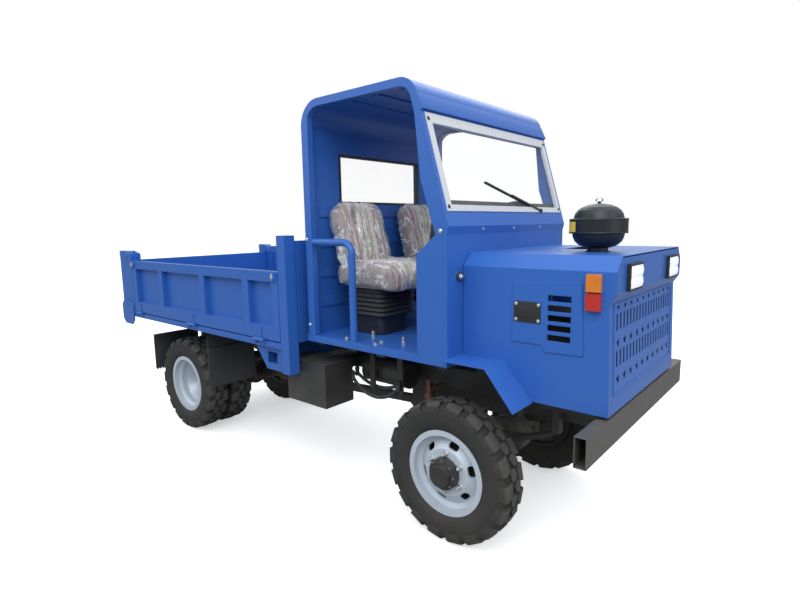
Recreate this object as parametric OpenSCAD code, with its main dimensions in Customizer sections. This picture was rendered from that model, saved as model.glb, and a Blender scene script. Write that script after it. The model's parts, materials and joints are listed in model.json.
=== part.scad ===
// Site dumper: a small four-wheel-drive tipping truck with an open half cab.
// Millimetres. +X is forward, +Y is left, +Z is up.
// The origin is on the ground, at the middle of the length and of the width.

/* [Wheels] */
// Distance between the front and the rear axle
wheelbase = 2560; // [2500:10:2620]
// Height of the wheel centres above the ground
tyre_r = 375; // [365:1:385]
// Section width of a tyre
tyre_w = 184; // [176:2:192]
// Diameter over the rim flanges
rim_d = 452; // [444:2:460]
// Distance between the front tyre centres
front_track = 1070; // [1060:10:1100]
// Distance between the outer rear tyre centres
rear_track = 1140; // [1130:10:1160]
// Distance between the two tyres of a rear pair
twin_pitch = 214; // [206:2:222]
// Lugs on each shoulder of a tyre
lug_count = 18; // [16:1:20]
// Width of a lug along the tread
lug_t = 60; // [50:2:64]

/* [Chassis] */
// Room between a frame rail and the inner rear tyre
wheel_gap = 39; // [34:1:60]
// Width of a frame rail
rail_w = 60; // [50:5:60]
// Height of a frame rail
rail_h = 120; // [100:10:140]
// Height of the top of the frame
frame_z = 810; // [800:5:820]
// Height of the bed's tipping hinge
tip_z = 768; // [764:1:772]
// Overhang from the front axle to the bumper face
front_overhang = 776; // [740:4:820]
// Length of the bumper beam
bumper_l = 1500; // [1400:20:1540]
// Height of the bumper beam
bumper_h = 130; // [120:5:140]

/* [Hood] */
// Width of the hood
hood_w = 1038; // [1000:2:1060]
// Height of the hood's lower edge
hood_z = 824; // [822:1:830]
// Height of the hood's top
hood_top = 1499; // [1470:1:1520]
// Height and width of the bend between side and top
hood_bend = 62; // [40:2:80]
// Thickness of the hood's sheet
hood_skin = 3; // [2:0.5:4]
// Distance that the headlamps stand ahead of the bumper face
lamp_out = 34; // [30:1:40]

/* [Cab] */
// Distance of the cowl ahead of the front axle
cowl_x = 53; // [40:1:66]
// Length of the cab
cab_l = 1035; // [1000:5:1060]
// Width of the cab
cab_w = 1308; // [1280:2:1330]
// Height of the cab floor
floor_z = 989; // [980:1:1000]
// Height of the roof
roof_z = 2340; // [2300:5:2380]
// Radius of the roof's bends
roof_r = 140; // [120:5:150]
// Thickness of the cab's walls
wall_t = 24; // [20:1:28]
// Diameter of the grab rails
rail_d = 42; // [34:1:44]

/* [Bed] */
// Gap between the cab and the bed
cab_gap = 63; // [55:1:80]
// Length over the bed's corner posts
bed_l = 2190; // [2150:10:2230]
// Width over the side gates
bed_w = 1504; // [1480:2:1530]
// Height of the load floor
bed_z = 931; // [929:1:940]
// Height of the gates' top edge
gate_top = 1368; // [1320:2:1400]
// Thickness of a side gate
gate_t = 42; // [36:1:46]
// Depth of the tailgate and its hinges behind the posts
tail_d = 150; // [140:2:160]

/* [Hidden] */
front_reach = front_overhang + lamp_out;
rear_reach = cab_l + cab_gap + bed_l + tail_d - cowl_x;
front_x = (rear_reach - front_reach) / 2;
cab_rear = cowl_x - cab_l;
bed_front = cab_rear - cab_gap;
bed_rear = bed_front - bed_l;
tip_x = bed_rear + 185;
rail_y = rear_track / 2 - twin_pitch - tyre_w / 2 - wheel_gap;
rail_in = rail_y - rail_w;
engine_y = rail_in - 15;
drive_y = (rail_in - 5) / 2;
rail_z = frame_z - rail_h;
bumper_back = front_overhang - 52;
bed_y = bed_w / 2;
gate_in = bed_y - gate_t;
cab_y = cab_w / 2;
hood_y = hood_w / 2;
king_y = front_track / 2 - 115;
arm_x = -150;
lift_bx = bed_front - 305;
lift_bz = frame_z - 210;
lift_ex = tip_x + 300;
lift_ez = frame_z - 10;
lift_len = sqrt(pow(lift_bx - lift_ex, 2) + pow(lift_ez - lift_bz, 2));
lift_turn = atan2(lift_ez - lift_bz, lift_bx - lift_ex);
gate_axis_y = bed_y + 12;
gate_axis_z = bed_z - 3;
gate_hinges = [bed_rear + 184, bed_rear + 0.479 * bed_l, bed_front - 294];
tail_axis_x = bed_rear - 30;
tail_axis_z = gate_top + 56;
fit = 0.3;
engine_top = hood_top - 319;
seat_x = cab_rear + 292;
seat_y = cab_y - 344;
seat_z = floor_z + 281;
visor_r = 120;
visor_w = 42;
screen_tilt = 15.9;
screen_z = hood_top + 196;
screen_x = cowl_x - 10;
screen_l = (roof_z - 169 - screen_z) / cos(screen_tilt);
visor_z = roof_z - visor_r;
visor_x = screen_x - (visor_r + (visor_z - screen_z) * sin(screen_tilt)) / cos(screen_tilt);
wheel_tilt = 35;
box_x = cab_rear + 152;
box_y = rail_y + 205;
hanger_x = cab_rear + 542;
grille_step = (hood_top - hood_z) / 4.245;

$fn = 48;

// A copy of the children on each side of the middle
module both() {
    children();
    mirror([0, 1, 0]) children();
}

// Children drawn with x measured from the front axle
module at_axle() {
    translate([front_x, 0, 0]) children();
}

// Box between two corners
module slab(x0, x1, y0, y1, z0, z1) {
    translate([x0, y0, z0]) cube([x1 - x0, y1 - y0, z1 - z0]);
}

// Side outline in x and z, as a plate from y0 to y1
module side_plate(y0, y1) {
    translate([0, y1, 0]) rotate([90, 0, 0]) linear_extrude(y1 - y0) children();
}

// Cross outline in y and z, as a bar from x0 to x1
module cross_bar(x0, x1) {
    translate([x0, 0, 0]) rotate([90, 0, 90]) linear_extrude(x1 - x0) children();
}

module rod_x(x0, x1, r) {
    translate([x0, 0, 0]) rotate([0, 90, 0]) cylinder(h = x1 - x0, r = r);
}

module rod_y(y0, y1, r) {
    translate([0, y1, 0]) rotate([90, 0, 0]) cylinder(h = y1 - y0, r = r);
}

// Ring turned about the y axis from an outline in radius and y
module turned_y() {
    rotate([-90, 0, 0]) rotate_extrude($fn = 96) children();
}

module frame_rails() color("#1c1c1e") at_axle() both() {
    difference() {
        slab(tip_x + 60, bumper_back, rail_in, rail_y, rail_z, frame_z);
        slab(tip_x, bumper_back + 10, rail_in + 6, rail_y - 6, rail_z + 6, frame_z - 6);
    }
    for (y = [rail_in, rail_y - 12])
        side_plate(y, y + 12) {
            translate([tip_x, tip_z]) circle(r = 36);
            polygon([[tip_x - 8, tip_z - 26], [tip_x + 60, rail_z + 2], [tip_x + 60, frame_z - 8],
                [tip_x - 8, tip_z + 26]]);
        }
    translate([tip_x, 0, tip_z]) rod_y(rail_in + 6, rail_y - 6, 16);
}

module frame_crossmembers() color("#1c1c1e") at_axle() {
    for (x = [cab_rear + 502, cab_rear + 82])
        slab(x - 30, x + 30, -rail_in, rail_in, rail_z + 10, frame_z - 10);
    slab(tip_x + 90, tip_x + 150, -rail_in, rail_in, rail_z + 10, frame_z - 10);
    // lugs that carry the lift cylinder
    slab(lift_bx - 30, lift_bx + 30, -rail_in, rail_in, rail_z + 10, frame_z - 10);
    both() side_plate(40, 56) difference() {
        union() {
            translate([lift_bx, lift_bz]) circle(r = 42);
            translate([lift_bx - 42, lift_bz]) square([84, rail_z + 10 - lift_bz]);
        }
        translate([lift_bx, lift_bz]) circle(r = 20 + fit);
    }
    // outriggers that carry the cab
    for (x = [cowl_x - 73, hanger_x, hanger_x - 220, cab_rear + 52]) {
        slab(x - 30, x + 30, -cab_y + 60, cab_y - 60, floor_z - 75, floor_z - 5);
        both() slab(x - 30, x + 30, rail_in, rail_y, frame_z, floor_z - 75);
    }
    both() for (x = [hanger_x - 220, hanger_x])
        slab(x - 20, x + 20, box_y - 10, box_y, 650, floor_z - 75);
}

module front_bumper() color("#3a3c40") at_axle() difference() {
    slab(bumper_back, front_overhang, -bumper_l / 2, bumper_l / 2, frame_z - bumper_h, frame_z);
    slab(bumper_back + 4, front_overhang - 4, -bumper_l, bumper_l,
        frame_z - bumper_h + 4, frame_z - 4);
}

module engine_gearbox() color("#2a2b2d") at_axle() {
    slab(150, front_overhang - 136, -engine_y, engine_y, 620, engine_top);
    both() slab(300, 400, engine_y, rail_in, rail_z + 30, frame_z - 30);
    slab(-420, 150, 30 - engine_y, engine_y - 30, 560, 780);
    translate([0, 0, 600]) rod_x(-540, -400, 40);
    slab(-640, -520, -70, drive_y + 50, 400, 660);
}

// Shaft with a flange at each end, between two points of one side plane
module shaft(a, b, r) {
    d = b - a;
    turn = atan2(d[2], -d[0]);
    translate(a) rotate([0, turn, 0]) rod_x(-norm(d) + 22, -22, r);
    translate(a) rod_x(-40, 0, r + 14);
    translate(b) rod_x(0, 40, r + 14);
}

module propshafts() color("#252628") at_axle() {
    shaft([-640, 0, 470], [240 - wheelbase, 0, tyre_r], 32);
    shaft([-170, drive_y, tyre_r], [-520, drive_y, 460], 26);
}

module front_axle() color("#222325") at_axle() translate([0, 0, tyre_r]) {
    k = king_y - 50;
    // tube with the differential on it
    turned_y() polygon([[0, -k + 8], [42, -k + 8], [42, -6], [70, -6], [118, 20],
        [118, rail_in - 25], [70, rail_in + 1], [42, rail_in + 1], [42, k - 8], [0, k - 8]]);
    translate([0, drive_y, 0]) rod_x(-170, -60, 55);
    both() {
        slab(-45, 45, rail_in + 5, rail_y - 5, 20, 60);
        slab(-28, 28, k - 18, k, -116, 116);
        for (z = [-116, 96]) {
            slab(-28, 28, k - 18, king_y, z, z + 20);
            translate([0, king_y, z]) cylinder(h = 20, r = 32);
        }
        translate([0, king_y, -100]) cylinder(h = 200, r = 14);
    }
}

module rear_axle() color("#222325") at_axle() translate([-wheelbase, 0, tyre_r]) {
    spin = rear_track / 2 - twin_pitch / 2 - 20;
    tube = rear_track / 2 - twin_pitch - 105;
    // tube with the differential on it, and a spindle at each end
    bulge = engine_y * 8 / 15;
    turned_y() polygon([[0, -spin], [36, -spin], [36, -tube], [55, -tube], [55, -engine_y],
        [80, -engine_y], [130, -bulge], [150, 0], [130, bulge], [80, engine_y], [55, engine_y],
        [55, tube], [36, tube], [36, spin], [0, spin]]);
    rod_x(100, 240, 60);
    both() slab(-60, 60, rail_in + 5, rail_y - 5, 30, 70);
}

// Stack of leaves with stepped ends, as an outline in x and z
module leaf_outline(half, rise, count) {
    leaf = 8;
    step = 0.8 * half / count;
    polygon(concat(
        [for (k = [-10 : 10]) [half * k / 10, rise * k * k / 100]],
        [for (i = [1 : count]) for (j = [0, 1]) let (x = half - step * (i - 1 + j))
            [x, rise * pow(x / half, 2) - leaf * i]],
        [for (i = [count : -1 : 1]) for (j = [1, 0]) let (x = half - step * (i - 1 + j))
            [-x, rise * pow(x / half, 2) - leaf * i]]));
}

module leaf_springs() color("#1f2022") at_axle() {
    both() side_plate(rail_in + 5, rail_y - 5) {
        translate([0, tyre_r + 108]) leaf_outline(420, 90, 6);
        translate([-wheelbase, tyre_r + 142]) leaf_outline(480, 70, 9);
    }
    both() {
        for (x = [-420, 420])
            slab(x - 18, x + 18, rail_in + 5, rail_y - 5, tyre_r + 192, rail_z);
        for (x = [-480, 480])
            slab(-wheelbase + x - 18, -wheelbase + x + 18, rail_in + 5, rail_y - 5,
                tyre_r + 206, rail_z);
    }
}

module battery_box() color("#2b2a28") at_axle() {
    slab(box_x - 360, box_x, -box_y - 230, -box_y, 545, 812);
    slab(box_x - 210, box_x - 150, -box_y, -rail_y, rail_z + 10, frame_z - 20);
    // oil tank of the lift, on the rail
    translate([0, -rail_y - 92, frame_z - 74]) {
        rod_x(box_x + 42, hanger_x - 6, 74);
        slab(box_x + 150, box_x + 190, 0, 92, -30, 30);
    }
}

// Flap with a toothed lower edge, as an outline in y and z
module flap_outline(top) {
    y0 = rail_y + 50;
    y1 = rear_track / 2 + 110;
    teeth = 16;
    step = (y1 - y0) / teeth;
    polygon(concat([[y0, top], [y0, 436]],
        [for (k = [0 : teeth - 1]) for (j = [0, 1]) [y0 + step * (k + 0.5 + 0.5 * j), 420 + 16 * j]],
        [[y1, top]]));
}

module mudflaps() color("#18181a") at_axle() both() {
    front = -wheelbase + 430;
    rear = -wheelbase - 450;
    cross_bar(front - 4, front + 4) flap_outline(bed_z - 77);
    cross_bar(rear - 4, rear + 4) flap_outline(735);
    for (x = [front, rear])
        slab(x + 4, x + 16, rail_y, rear_track / 2 + 110, 705, 735);
}

// Hose hanging in an arc between two points of one side plane
module hose(y, z, x0, x1, sag) {
    half = (x1 - x0) / 2;
    r = (half * half + sag * sag) / (2 * sag);
    turn = asin(half / r);
    translate([(x0 + x1) / 2, y, z - sag + r]) rotate([90, 0, 0]) rotate([0, 0, -90 - turn])
        rotate_extrude(angle = 2 * turn, $fn = 96) translate([r, 0]) circle(r = 11);
    translate([x0, y, z - 20]) cylinder(h = 60, r = 15);
    translate([x1, y, z - 20]) cylinder(h = 60, r = 15);
}

module hydraulic_hoses() color("#141416") at_axle() {
    hose(-box_y - 15 - fit, 700, box_x + 15 + fit, hanger_x, 90);
    hose(-box_y + 25 + fit, 720, box_x + 15 + fit, hanger_x, 60);
}

// Side outline of the hood, stepped at the headlamps
module hood_outline(inset) {
    polygon([[cowl_x + 3, hood_z], [front_overhang - inset, hood_z],
        [front_overhang - 16 - inset, hood_top - 199], [front_overhang + 12 - inset, hood_top - 154],
        [front_overhang + 12 - inset, hood_top], [cowl_x + 3, hood_top]]);
}

// Cross outline of the hood
module hood_section(inset) {
    y = hood_y - inset;
    polygon([[-y, hood_z - 50], [y, hood_z - 50], [y, hood_top - hood_bend],
        [y - hood_bend, hood_top - inset], [-y + hood_bend, hood_top - inset],
        [-y, hood_top - hood_bend]]);
}

// Raised panel of the hood's side, in x and z
module hood_panel() translate([front_overhang, hood_top])
    polygon([[-450, -123], [-127, -111], [-112, -426], [-284, -433], [-306, -402], [-450, -402]]);

module hood_shell() color("#2456b8") at_axle() difference() {
    union() {
        difference() {
            intersection() {
                side_plate(-hood_y, hood_y) hood_outline(0);
                cross_bar(cowl_x, front_overhang + 20) hood_section(0);
            }
            cross_bar(cowl_x - 10, front_overhang + 60) hood_section(hood_skin);
        }
        both() side_plate(hood_y - 1, hood_y + 4) hood_panel();
    }
    // wheel arch, under the fender
    both() side_plate(hood_y - 20, hood_y + 20)
        polygon([[cowl_x - 5, hood_z - 60], [cowl_x - 5, floor_z + 3], [287, floor_z + 3],
            [428, hood_z - 8], [428, hood_z - 60]]);
    // louvres
    both() for (k = [0 : 4])
        translate([front_overhang, 0, hood_top - 377 + 44 * k])
            slab(-276, -171, hood_y - 20, hood_y + 20, 0, 27);
    // opening round the filter's neck, and the one above the radiator
    translate([front_overhang - 206, -140, hood_top - 20]) cylinder(h = 40, r = 62);
    slab(front_overhang - 450, front_overhang - 289, 16, 431, hood_top - 20, hood_top + 20);
}

// Five-pointed star
module star(r) {
    polygon([for (k = [0 : 9]) let (q = k % 2 == 0 ? r : 0.42 * r)
        [q * sin(36 * k), q * cos(36 * k)]]);
}

module hood_front() color("#2456b8") at_axle() difference() {
    intersection() {
        difference() {
            side_plate(-hood_y, hood_y) hood_outline(0);
            side_plate(-hood_y - 5, hood_y + 5) translate([-hood_skin, 0]) hood_outline(0);
        }
        cross_bar(cowl_x, front_overhang + 20) hood_section(hood_skin);
        slab(front_overhang - 176, front_overhang + 60, -hood_y, hood_y, hood_z, hood_top - 8);
    }
    for (row = [0 : 2]) for (k = [-4.5 : 4.5])
        translate([front_overhang - 60, (hood_w - 238) / 9 * k, hood_z + 142 + grille_step * row])
            rotate([90, 0, 90]) linear_extrude(120) star(24);
    for (row = [0 : 1]) for (k = [-9 : 9])
        translate([front_overhang, (hood_w - 210) / 18 * k, hood_z + 198 + grille_step * row])
            slab(-60, 60, -9, 9, 0, 70);
}

// Children drawn from a headlamp's middle, with x from the bumper face
module at_lamp() translate([front_overhang, hood_y - 209, hood_top - 94]) children();

module headlamp_housings() color("#151517") at_axle() both()
    at_lamp() slab(12, lamp_out - 6, -88, 88, -58, 58);

module headlamp_lenses() color("#f2f4f6") at_axle() both()
    at_lamp() slab(lamp_out - 6, lamp_out, -78, 78, -48, 48);

// Children drawn from the middle of a side lamp
module at_side_lamp() translate([front_overhang - 75, hood_y, hood_top - 149]) children();

module indicator_lenses() color("#f08a1c") at_axle() both()
    at_side_lamp() slab(-34, 34, 0, 26, 0, 78);

module marker_lenses() color("#c8281e") at_axle() both()
    at_side_lamp() slab(-34, 34, 0, 26, -78, 0);

module air_cleaner() color("#17181a") at_axle() translate([front_overhang - 206, -140, hood_top]) {
    rotate_extrude($fn = 96) polygon([[0, engine_top - hood_top], [48, engine_top - hood_top], [48, 17],
        [62, 19], [88, 30], [106, 47], [115, 66], [118, 84], [132, 87], [132, 153], [114, 157], [109, 176],
        [98, 193], [80, 207], [55, 218], [28, 224], [0, 225]]);
    translate([0, 0, 224]) cylinder(h = 11, r = 8);
}

module front_fenders() color("#2456b8") at_axle() both()
    side_plate(hood_y, front_track / 2 + tyre_w / 2 + 75) {
        top = floor_z + 7;
        low = hood_z - 8;
        polygon([[cowl_x, top], [290, top], [434, low + 6], [434, low], [428, low], [287, top - 4],
            [cowl_x, top - 4]]);
    }

module cab_floor() color("#2456b8") at_axle() difference() {
    slab(cab_rear, cowl_x - 1, -cab_y, cab_y, floor_z - 41, floor_z);
    slab(cab_rear + 4, cowl_x - 5, -cab_y + 4, cab_y - 4, floor_z - 60, floor_z - 5);
}

// Children drawn in the plane of the windscreen: x out of it, z up along it
module at_screen() {
    translate([screen_x, 0, screen_z]) rotate([0, -screen_tilt, 0]) children();
}

// Point of the windscreen's plane, at a distance behind it and a length up it
function screen_point(back, up) = [screen_x - back * cos(screen_tilt) - up * sin(screen_tilt),
    screen_z - back * sin(screen_tilt) + up * cos(screen_tilt)];

// Points of the roof's outline from the screen back to the rear wall, at an inset from the outside
function roof_points(inset) = concat([screen_point(inset, screen_l)],
    [for (k = [0 : 12]) let (a = screen_tilt + (90 - screen_tilt) * k / 12)
        [visor_x + (visor_r - inset) * cos(a), visor_z + (visor_r - inset) * sin(a)]],
    [for (k = [0 : 14]) let (a = 90 + 90 * k / 14)
        [cab_rear + 16 + roof_r + (roof_r - inset) * cos(a), roof_z - roof_r + (roof_r - inset) * sin(a)]]);

function backwards(list) = [for (k = [len(list) - 1 : -1 : 0]) list[k]];

module cab_side_frames() color("#2456b8") at_axle() both() side_plate(cab_y - 40, cab_y)
    // one outline: side panel, front pillar, roof bow and rear post
    polygon(concat([[cowl_x - 185, floor_z], [cowl_x - wall_t, floor_z], [cowl_x - wall_t, screen_z - 115],
        screen_point(wall_t, 0), screen_point(wall_t, screen_l)], roof_points(0),
        [[cab_rear + 16, floor_z], [cab_rear + 70, floor_z], [cab_rear + 70, roof_z - roof_r]],
        backwards([for (p = roof_points(visor_w)) if (p[0] > cab_rear + 71) p]),
        [screen_point(96, 0.38 * screen_l), [cowl_x - 67, screen_z - 106], [cowl_x - 185, screen_z - 203]]));

module cab_roof() color("#2456b8") at_axle() {
    side_plate(-cab_y + 40, cab_y - 40)
        polygon(concat(roof_points(0), backwards(roof_points(wall_t))));
    // ribs under the roof
    for (x = [visor_x - 40, visor_x - 240, visor_x - 440])
        slab(x - 30, x + 30, -cab_y + 90, cab_y - 90, roof_z - wall_t - 8, roof_z - wall_t + 2);
}

module cab_rear_wall() color("#2456b8") at_axle() difference() {
    union() {
        slab(cab_rear + 16, cab_rear + 16 + wall_t, -cab_y + 40, cab_y - 40, floor_z, roof_z - roof_r);
        for (k = [0 : 3]) translate([0, 0, floor_z + 161 + 180 * k])
            slab(cab_rear + 10 + wall_t, cab_rear + 24 + wall_t, -cab_y + 90, cab_y - 90, 0, 60);
    }
    slab(cab_rear, cab_rear + 90, -cab_y + 264, cab_y - 264, roof_z - 565, roof_z - 270);
}

module cab_cowl() color("#2456b8") at_axle() side_plate(-cab_y, cab_y)
    polygon([[cowl_x - wall_t, floor_z], [cowl_x, floor_z], [cowl_x, screen_z - 107],
        [cowl_x + 10, screen_z - 67], screen_point(0, 0), screen_point(wall_t, 0),
        [cowl_x - wall_t, screen_z - 115]]);

module windscreen_frame() color("#2456b8") at_axle() {
    at_screen() difference() {
        slab(-wall_t, 0, -cab_y, cab_y, 0, screen_l - fit);
        slab(-60, 60, -cab_y + 58, cab_y - 58, 30, screen_l - 55);
    }
}

module cab_glass() color([0.8, 0.9, 0.95, 0.5]) at_axle() {
    at_screen() slab(-15, -10, -cab_y + 58, cab_y - 58, 30, screen_l - 55);
    slab(cab_rear + 25, cab_rear + 30, -cab_y + 276, cab_y - 276, roof_z - 553, roof_z - 282);
}

module window_gasket() color("#101012") at_axle() difference() {
    slab(cab_rear + 10, cab_rear + 46, -cab_y + 264, cab_y - 264, roof_z - 565, roof_z - 270);
    slab(cab_rear, cab_rear + 60, -cab_y + 276, cab_y - 276, roof_z - 553, roof_z - 282);
}

module grab_rails() color("#2456b8") at_axle() both() {
    y = cab_y - 20;
    x = cab_rear + 380;
    z = floor_z + 556;
    bend = 64;
    translate([x, y, floor_z]) cylinder(h = z - bend - floor_z, d = rail_d);
    translate([x - bend, y, z - bend]) rotate([90, 0, 0])
        rotate_extrude(angle = 90) translate([bend, 0]) circle(d = rail_d);
    translate([0, y, z]) rod_x(cab_rear + 70, x - bend, rail_d / 2);
}

module seat_bases() color("#151517") at_axle() both() translate([seat_x, seat_y, 0]) {
    slab(-125, 125, -125, 125, floor_z, floor_z + 110);
    for (k = [0 : 4])
        slab(-155, 155, -155, 155, floor_z + 110 + 34 * k, floor_z + 132 + 34 * k);
    slab(-140, 140, -140, 140, floor_z + 110, seat_z);
}

module seats() color("#8a7468") at_axle() both() {
    translate([seat_x, seat_y, seat_z]) side_plate(-230, 230)
        polygon([[-200, 0], [280, 0], [295, 100], [260, 130], [-10, 170], [-30, 170], [-140, 510], [-230, 510]]);
}

module dashboard() color("#18191b") at_axle() side_plate(-cab_y + 41, cab_y - 41)
    polygon([[cowl_x - 143, screen_z - 195], [cowl_x - wall_t, screen_z - 195],
        [cowl_x - wall_t, screen_z - 115], screen_point(wall_t, 0), [cowl_x - 113, screen_z]]);

// Children drawn about the steering wheel's centre, with z along its axis
module at_wheel() {
    translate([cowl_x - 303, seat_y, screen_z - 45]) rotate([0, -wheel_tilt, 0]) children();
}

module cab_controls() color("#17181a") at_axle() {
    // steering column, ending on the cowl
    intersection() {
        at_wheel() translate([0, 0, -600]) cylinder(h = 600 - 24, r = 24);
        slab(cab_rear, cowl_x - wall_t, 0, cab_y, floor_z, roof_z);
    }
    // levers between the seats
    for (y = [-30, 30]) translate([cab_rear + 562, y, floor_z]) {
        cylinder(h = 420, r = 9);
        translate([0, 0, 420]) sphere(r = 22);
    }
}

module wiper() color("#121214") at_axle() at_screen() translate([0, cab_y - 313, 14])
    rotate([-15, 0, 0]) {
        rod_x(0, 14, 12);
        slab(4, 10, -330, 0, -5, 5);
        slab(-10 + fit, 4, -585, -110, -4, 4);
    }

module steering_wheel() color("#131315") at_axle() at_wheel() {
    rotate_extrude($fn = 64) translate([190, 0]) circle(r = 14);
    rotate([0, 0, 90]) slab(-185, 185, -16, 16, -8, 4);
    translate([0, 0, -24 + fit]) cylinder(h = 40, r = 40);
}

// Steering knuckle of the left wheel, about its kingpin
module knuckle() translate([0, king_y, tyre_r]) {
    difference() {
        union() {
            translate([0, 0, -95]) cylinder(h = 190, r = 32);
            rod_y(0, 135, 26);
            slab(arm_x, 0, -22, 22, -80, -56);
            translate([arm_x, 0, -80]) cylinder(h = 24, r = 24);
        }
        translate([0, 0, -120]) cylinder(h = 240, r = 14 + fit);
        translate([arm_x, 0, -120]) cylinder(h = 240, r = 9 + fit);
    }
}

module knuckle_left() color("#26272a") at_axle() knuckle();

module knuckle_right() color("#26272a") at_axle() mirror([0, 1, 0]) knuckle();

module tie_rod() color("#26272a") at_axle() translate([arm_x, 0, tyre_r - 80]) {
    translate([0, 0, -17]) rod_y(-king_y, king_y, 13);
    both() translate([0, king_y, -16]) cylinder(h = 38, r = 9);
    both() translate([0, king_y, -34]) cylinder(h = 32, r = 20);
}

// Tyre about its own centre
module tyre() {
    tip = tyre_r;
    half = tyre_w / 2;
    bead = rim_d / 2;
    turned_y() polygon([[bead - 20, -70], [bead, -70], [bead + 6, -74], [bead + 62, -half],
        [bead + 104, -half + 4], [tip - 26, -half + 22], [tip - 20, 0], [tip - 26, half - 22],
        [bead + 104, half - 4], [bead + 62, half], [bead + 6, 74], [bead, 70], [bead - 20, 70]]);
    rotate([-90, 0, 0]) for (side = [0, 1]) for (k = [0 : lug_count - 1])
        rotate([0, 0, 90 + (k + 0.5 * side) * 360 / lug_count]) mirror([0, 0, side])
            rotate([90, 0, 0]) linear_extrude(lug_t, center = true)
                polygon([[tip - 34, 8], [tip, 8], [tip, half - 14], [tip - 14, half - 1],
                    [bead + 90, half], [bead + 90, half - 12], [tip - 34, half - 34]]);
}

// Rim barrel about its own centre, open inside
module rim_barrel() {
    f = rim_d / 2;
    polygon([[f, -76], [f, -70], [f - 23, -70], [f - 23, -40], [f - 46, -25], [f - 46, 25],
        [f - 23, 40], [f - 23, 70], [f, 70], [f, 76], [f - 29, 76], [f - 29, 42], [f - 52, 27],
        [f - 52, -27], [f - 29, -42], [f - 29, -76]]);
}

module front_wheel() {
    f = rim_d / 2;
    difference() {
        turned_y() {
            rim_barrel();
            polygon([[f - 48, 10], [f - 48, 22], [125, 60], [30, 60], [30, 50], [122, 50]]);
            polygon([[26 + fit, -52], [60, -52], [62, 52], [82, 58], [82, 92], [60, 100], [54, 128],
                [0, 128], [0, 50], [26 + fit, 50]]);
        }
        for (k = [0 : 5]) rotate([0, 60 * k + 15, 0]) translate([0, 0, 148]) {
            for (x = [-14, 14]) translate([x, 0, 0]) rod_y(0, 100, 16);
            slab(-14, 14, 0, 100, -16, 16);
        }
    }
}

module rear_wheels() {
    f = rim_d / 2;
    p = twin_pitch / 2;
    turned_y() {
        translate([0, p]) rim_barrel();
        translate([0, -p]) rim_barrel();
        polygon([[f - 48, p - 20], [f - 48, p - 8], [128, 9], [66, 9], [62, 50], [0, 50], [0, -12],
            [36 + fit, -12], [36 + fit, -172], [112, -172], [112, -9], [128, -9],
            [f - 48, -p + 8], [f - 48, -p + 20], [120, 0]]);
    }
}

module tyre_front_left() color("#1b1b1c") at_axle() translate([0, front_track / 2, tyre_r]) tyre();

module tyre_front_right() color("#1b1b1c") at_axle() mirror([0, 1, 0])
    translate([0, front_track / 2, tyre_r]) tyre();

module rear_tyres() translate([-wheelbase, 0, tyre_r])
    for (y = [rear_track / 2, rear_track / 2 - twin_pitch]) translate([0, y, 0]) tyre();

module tyres_rear_left() color("#1b1b1c") at_axle() rear_tyres();

module tyres_rear_right() color("#1b1b1c") at_axle() mirror([0, 1, 0]) rear_tyres();

module rim_front_left() color("#b4b8bc") at_axle() translate([0, front_track / 2, tyre_r]) front_wheel();

module rim_front_right() color("#b4b8bc") at_axle() mirror([0, 1, 0])
    translate([0, front_track / 2, tyre_r]) front_wheel();

module rims_rear_left() color("#b4b8bc") at_axle()
    translate([-wheelbase, rear_track / 2 - twin_pitch / 2, tyre_r]) rear_wheels();

module rims_rear_right() color("#b4b8bc") at_axle() mirror([0, 1, 0])
    translate([-wheelbase, rear_track / 2 - twin_pitch / 2, tyre_r]) rear_wheels();

module bed_subframe() color("#2456b8") at_axle() {
    both() {
        slab(tip_x, bed_front - 80, rail_in, rail_y, frame_z + fit, bed_z - 46);
        // tipping hinge sleeve
        side_plate(rail_in + 13, rail_y - 13) difference() {
            union() {
                translate([tip_x, tip_z]) circle(r = 34);
                translate([tip_x - 34, tip_z]) square([68, frame_z + 20 - tip_z]);
            }
            translate([tip_x, tip_z]) circle(r = 16 + fit);
        }
        // side sill
        slab(bed_rear + 2, bed_front - 78, bed_y - 46, bed_y - 2, bed_z - 46, bed_z - 6);
    }
    for (k = [0 : 5]) translate([bed_rear + 120 + (bed_l - 310) / 5 * k, 0, bed_z - 46])
        slab(-30, 30, -bed_y + 46, bed_y - 46, 0, 40);
    // front beam and its gussets, outside the frame rails
    both() {
        difference() {
            slab(bed_front - 273, bed_front - 158, rail_y + 20, bed_y - 40, bed_z - 164, bed_z - 46);
            slab(bed_front - 267, bed_front - 164, rail_y, bed_y, bed_z - 158, bed_z - 52);
        }
        side_plate(bed_y - 40, bed_y - 32) difference() {
            polygon([[bed_front - 395, bed_z - 46], [bed_front - 276, bed_z - 200],
                [bed_front - 122, bed_z - 200], [bed_front - 82, bed_z - 46]]);
            translate([bed_front - 262, bed_z - 158]) square([98, 74]);
        }
    }
    // lift eye lugs
    both() side_plate(34, 46) difference() {
        union() {
            translate([lift_ex, lift_ez]) circle(r = 58);
            translate([lift_ex - 58, lift_ez]) square([116, bed_z - 46 - lift_ez]);
        }
        translate([lift_ex, lift_ez]) circle(r = 38);
    }
    slab(lift_ex - 60, lift_ex + 60, -rail_in, rail_in, bed_z - 60, bed_z - 46);
    // gate hinge pins
    both() for (x = gate_hinges) {
        translate([0, gate_axis_y, gate_axis_z]) rod_x(x - 56, x + 56, 6);
        for (s = [-56, 26]) {
            translate([0, gate_axis_y, gate_axis_z]) rod_x(x + s, x + s + 30, 11);
            slab(x + s, x + s + 30, bed_y - 2, gate_axis_y, gate_axis_z - 22, gate_axis_z - 6);
        }
    }
}

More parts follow.
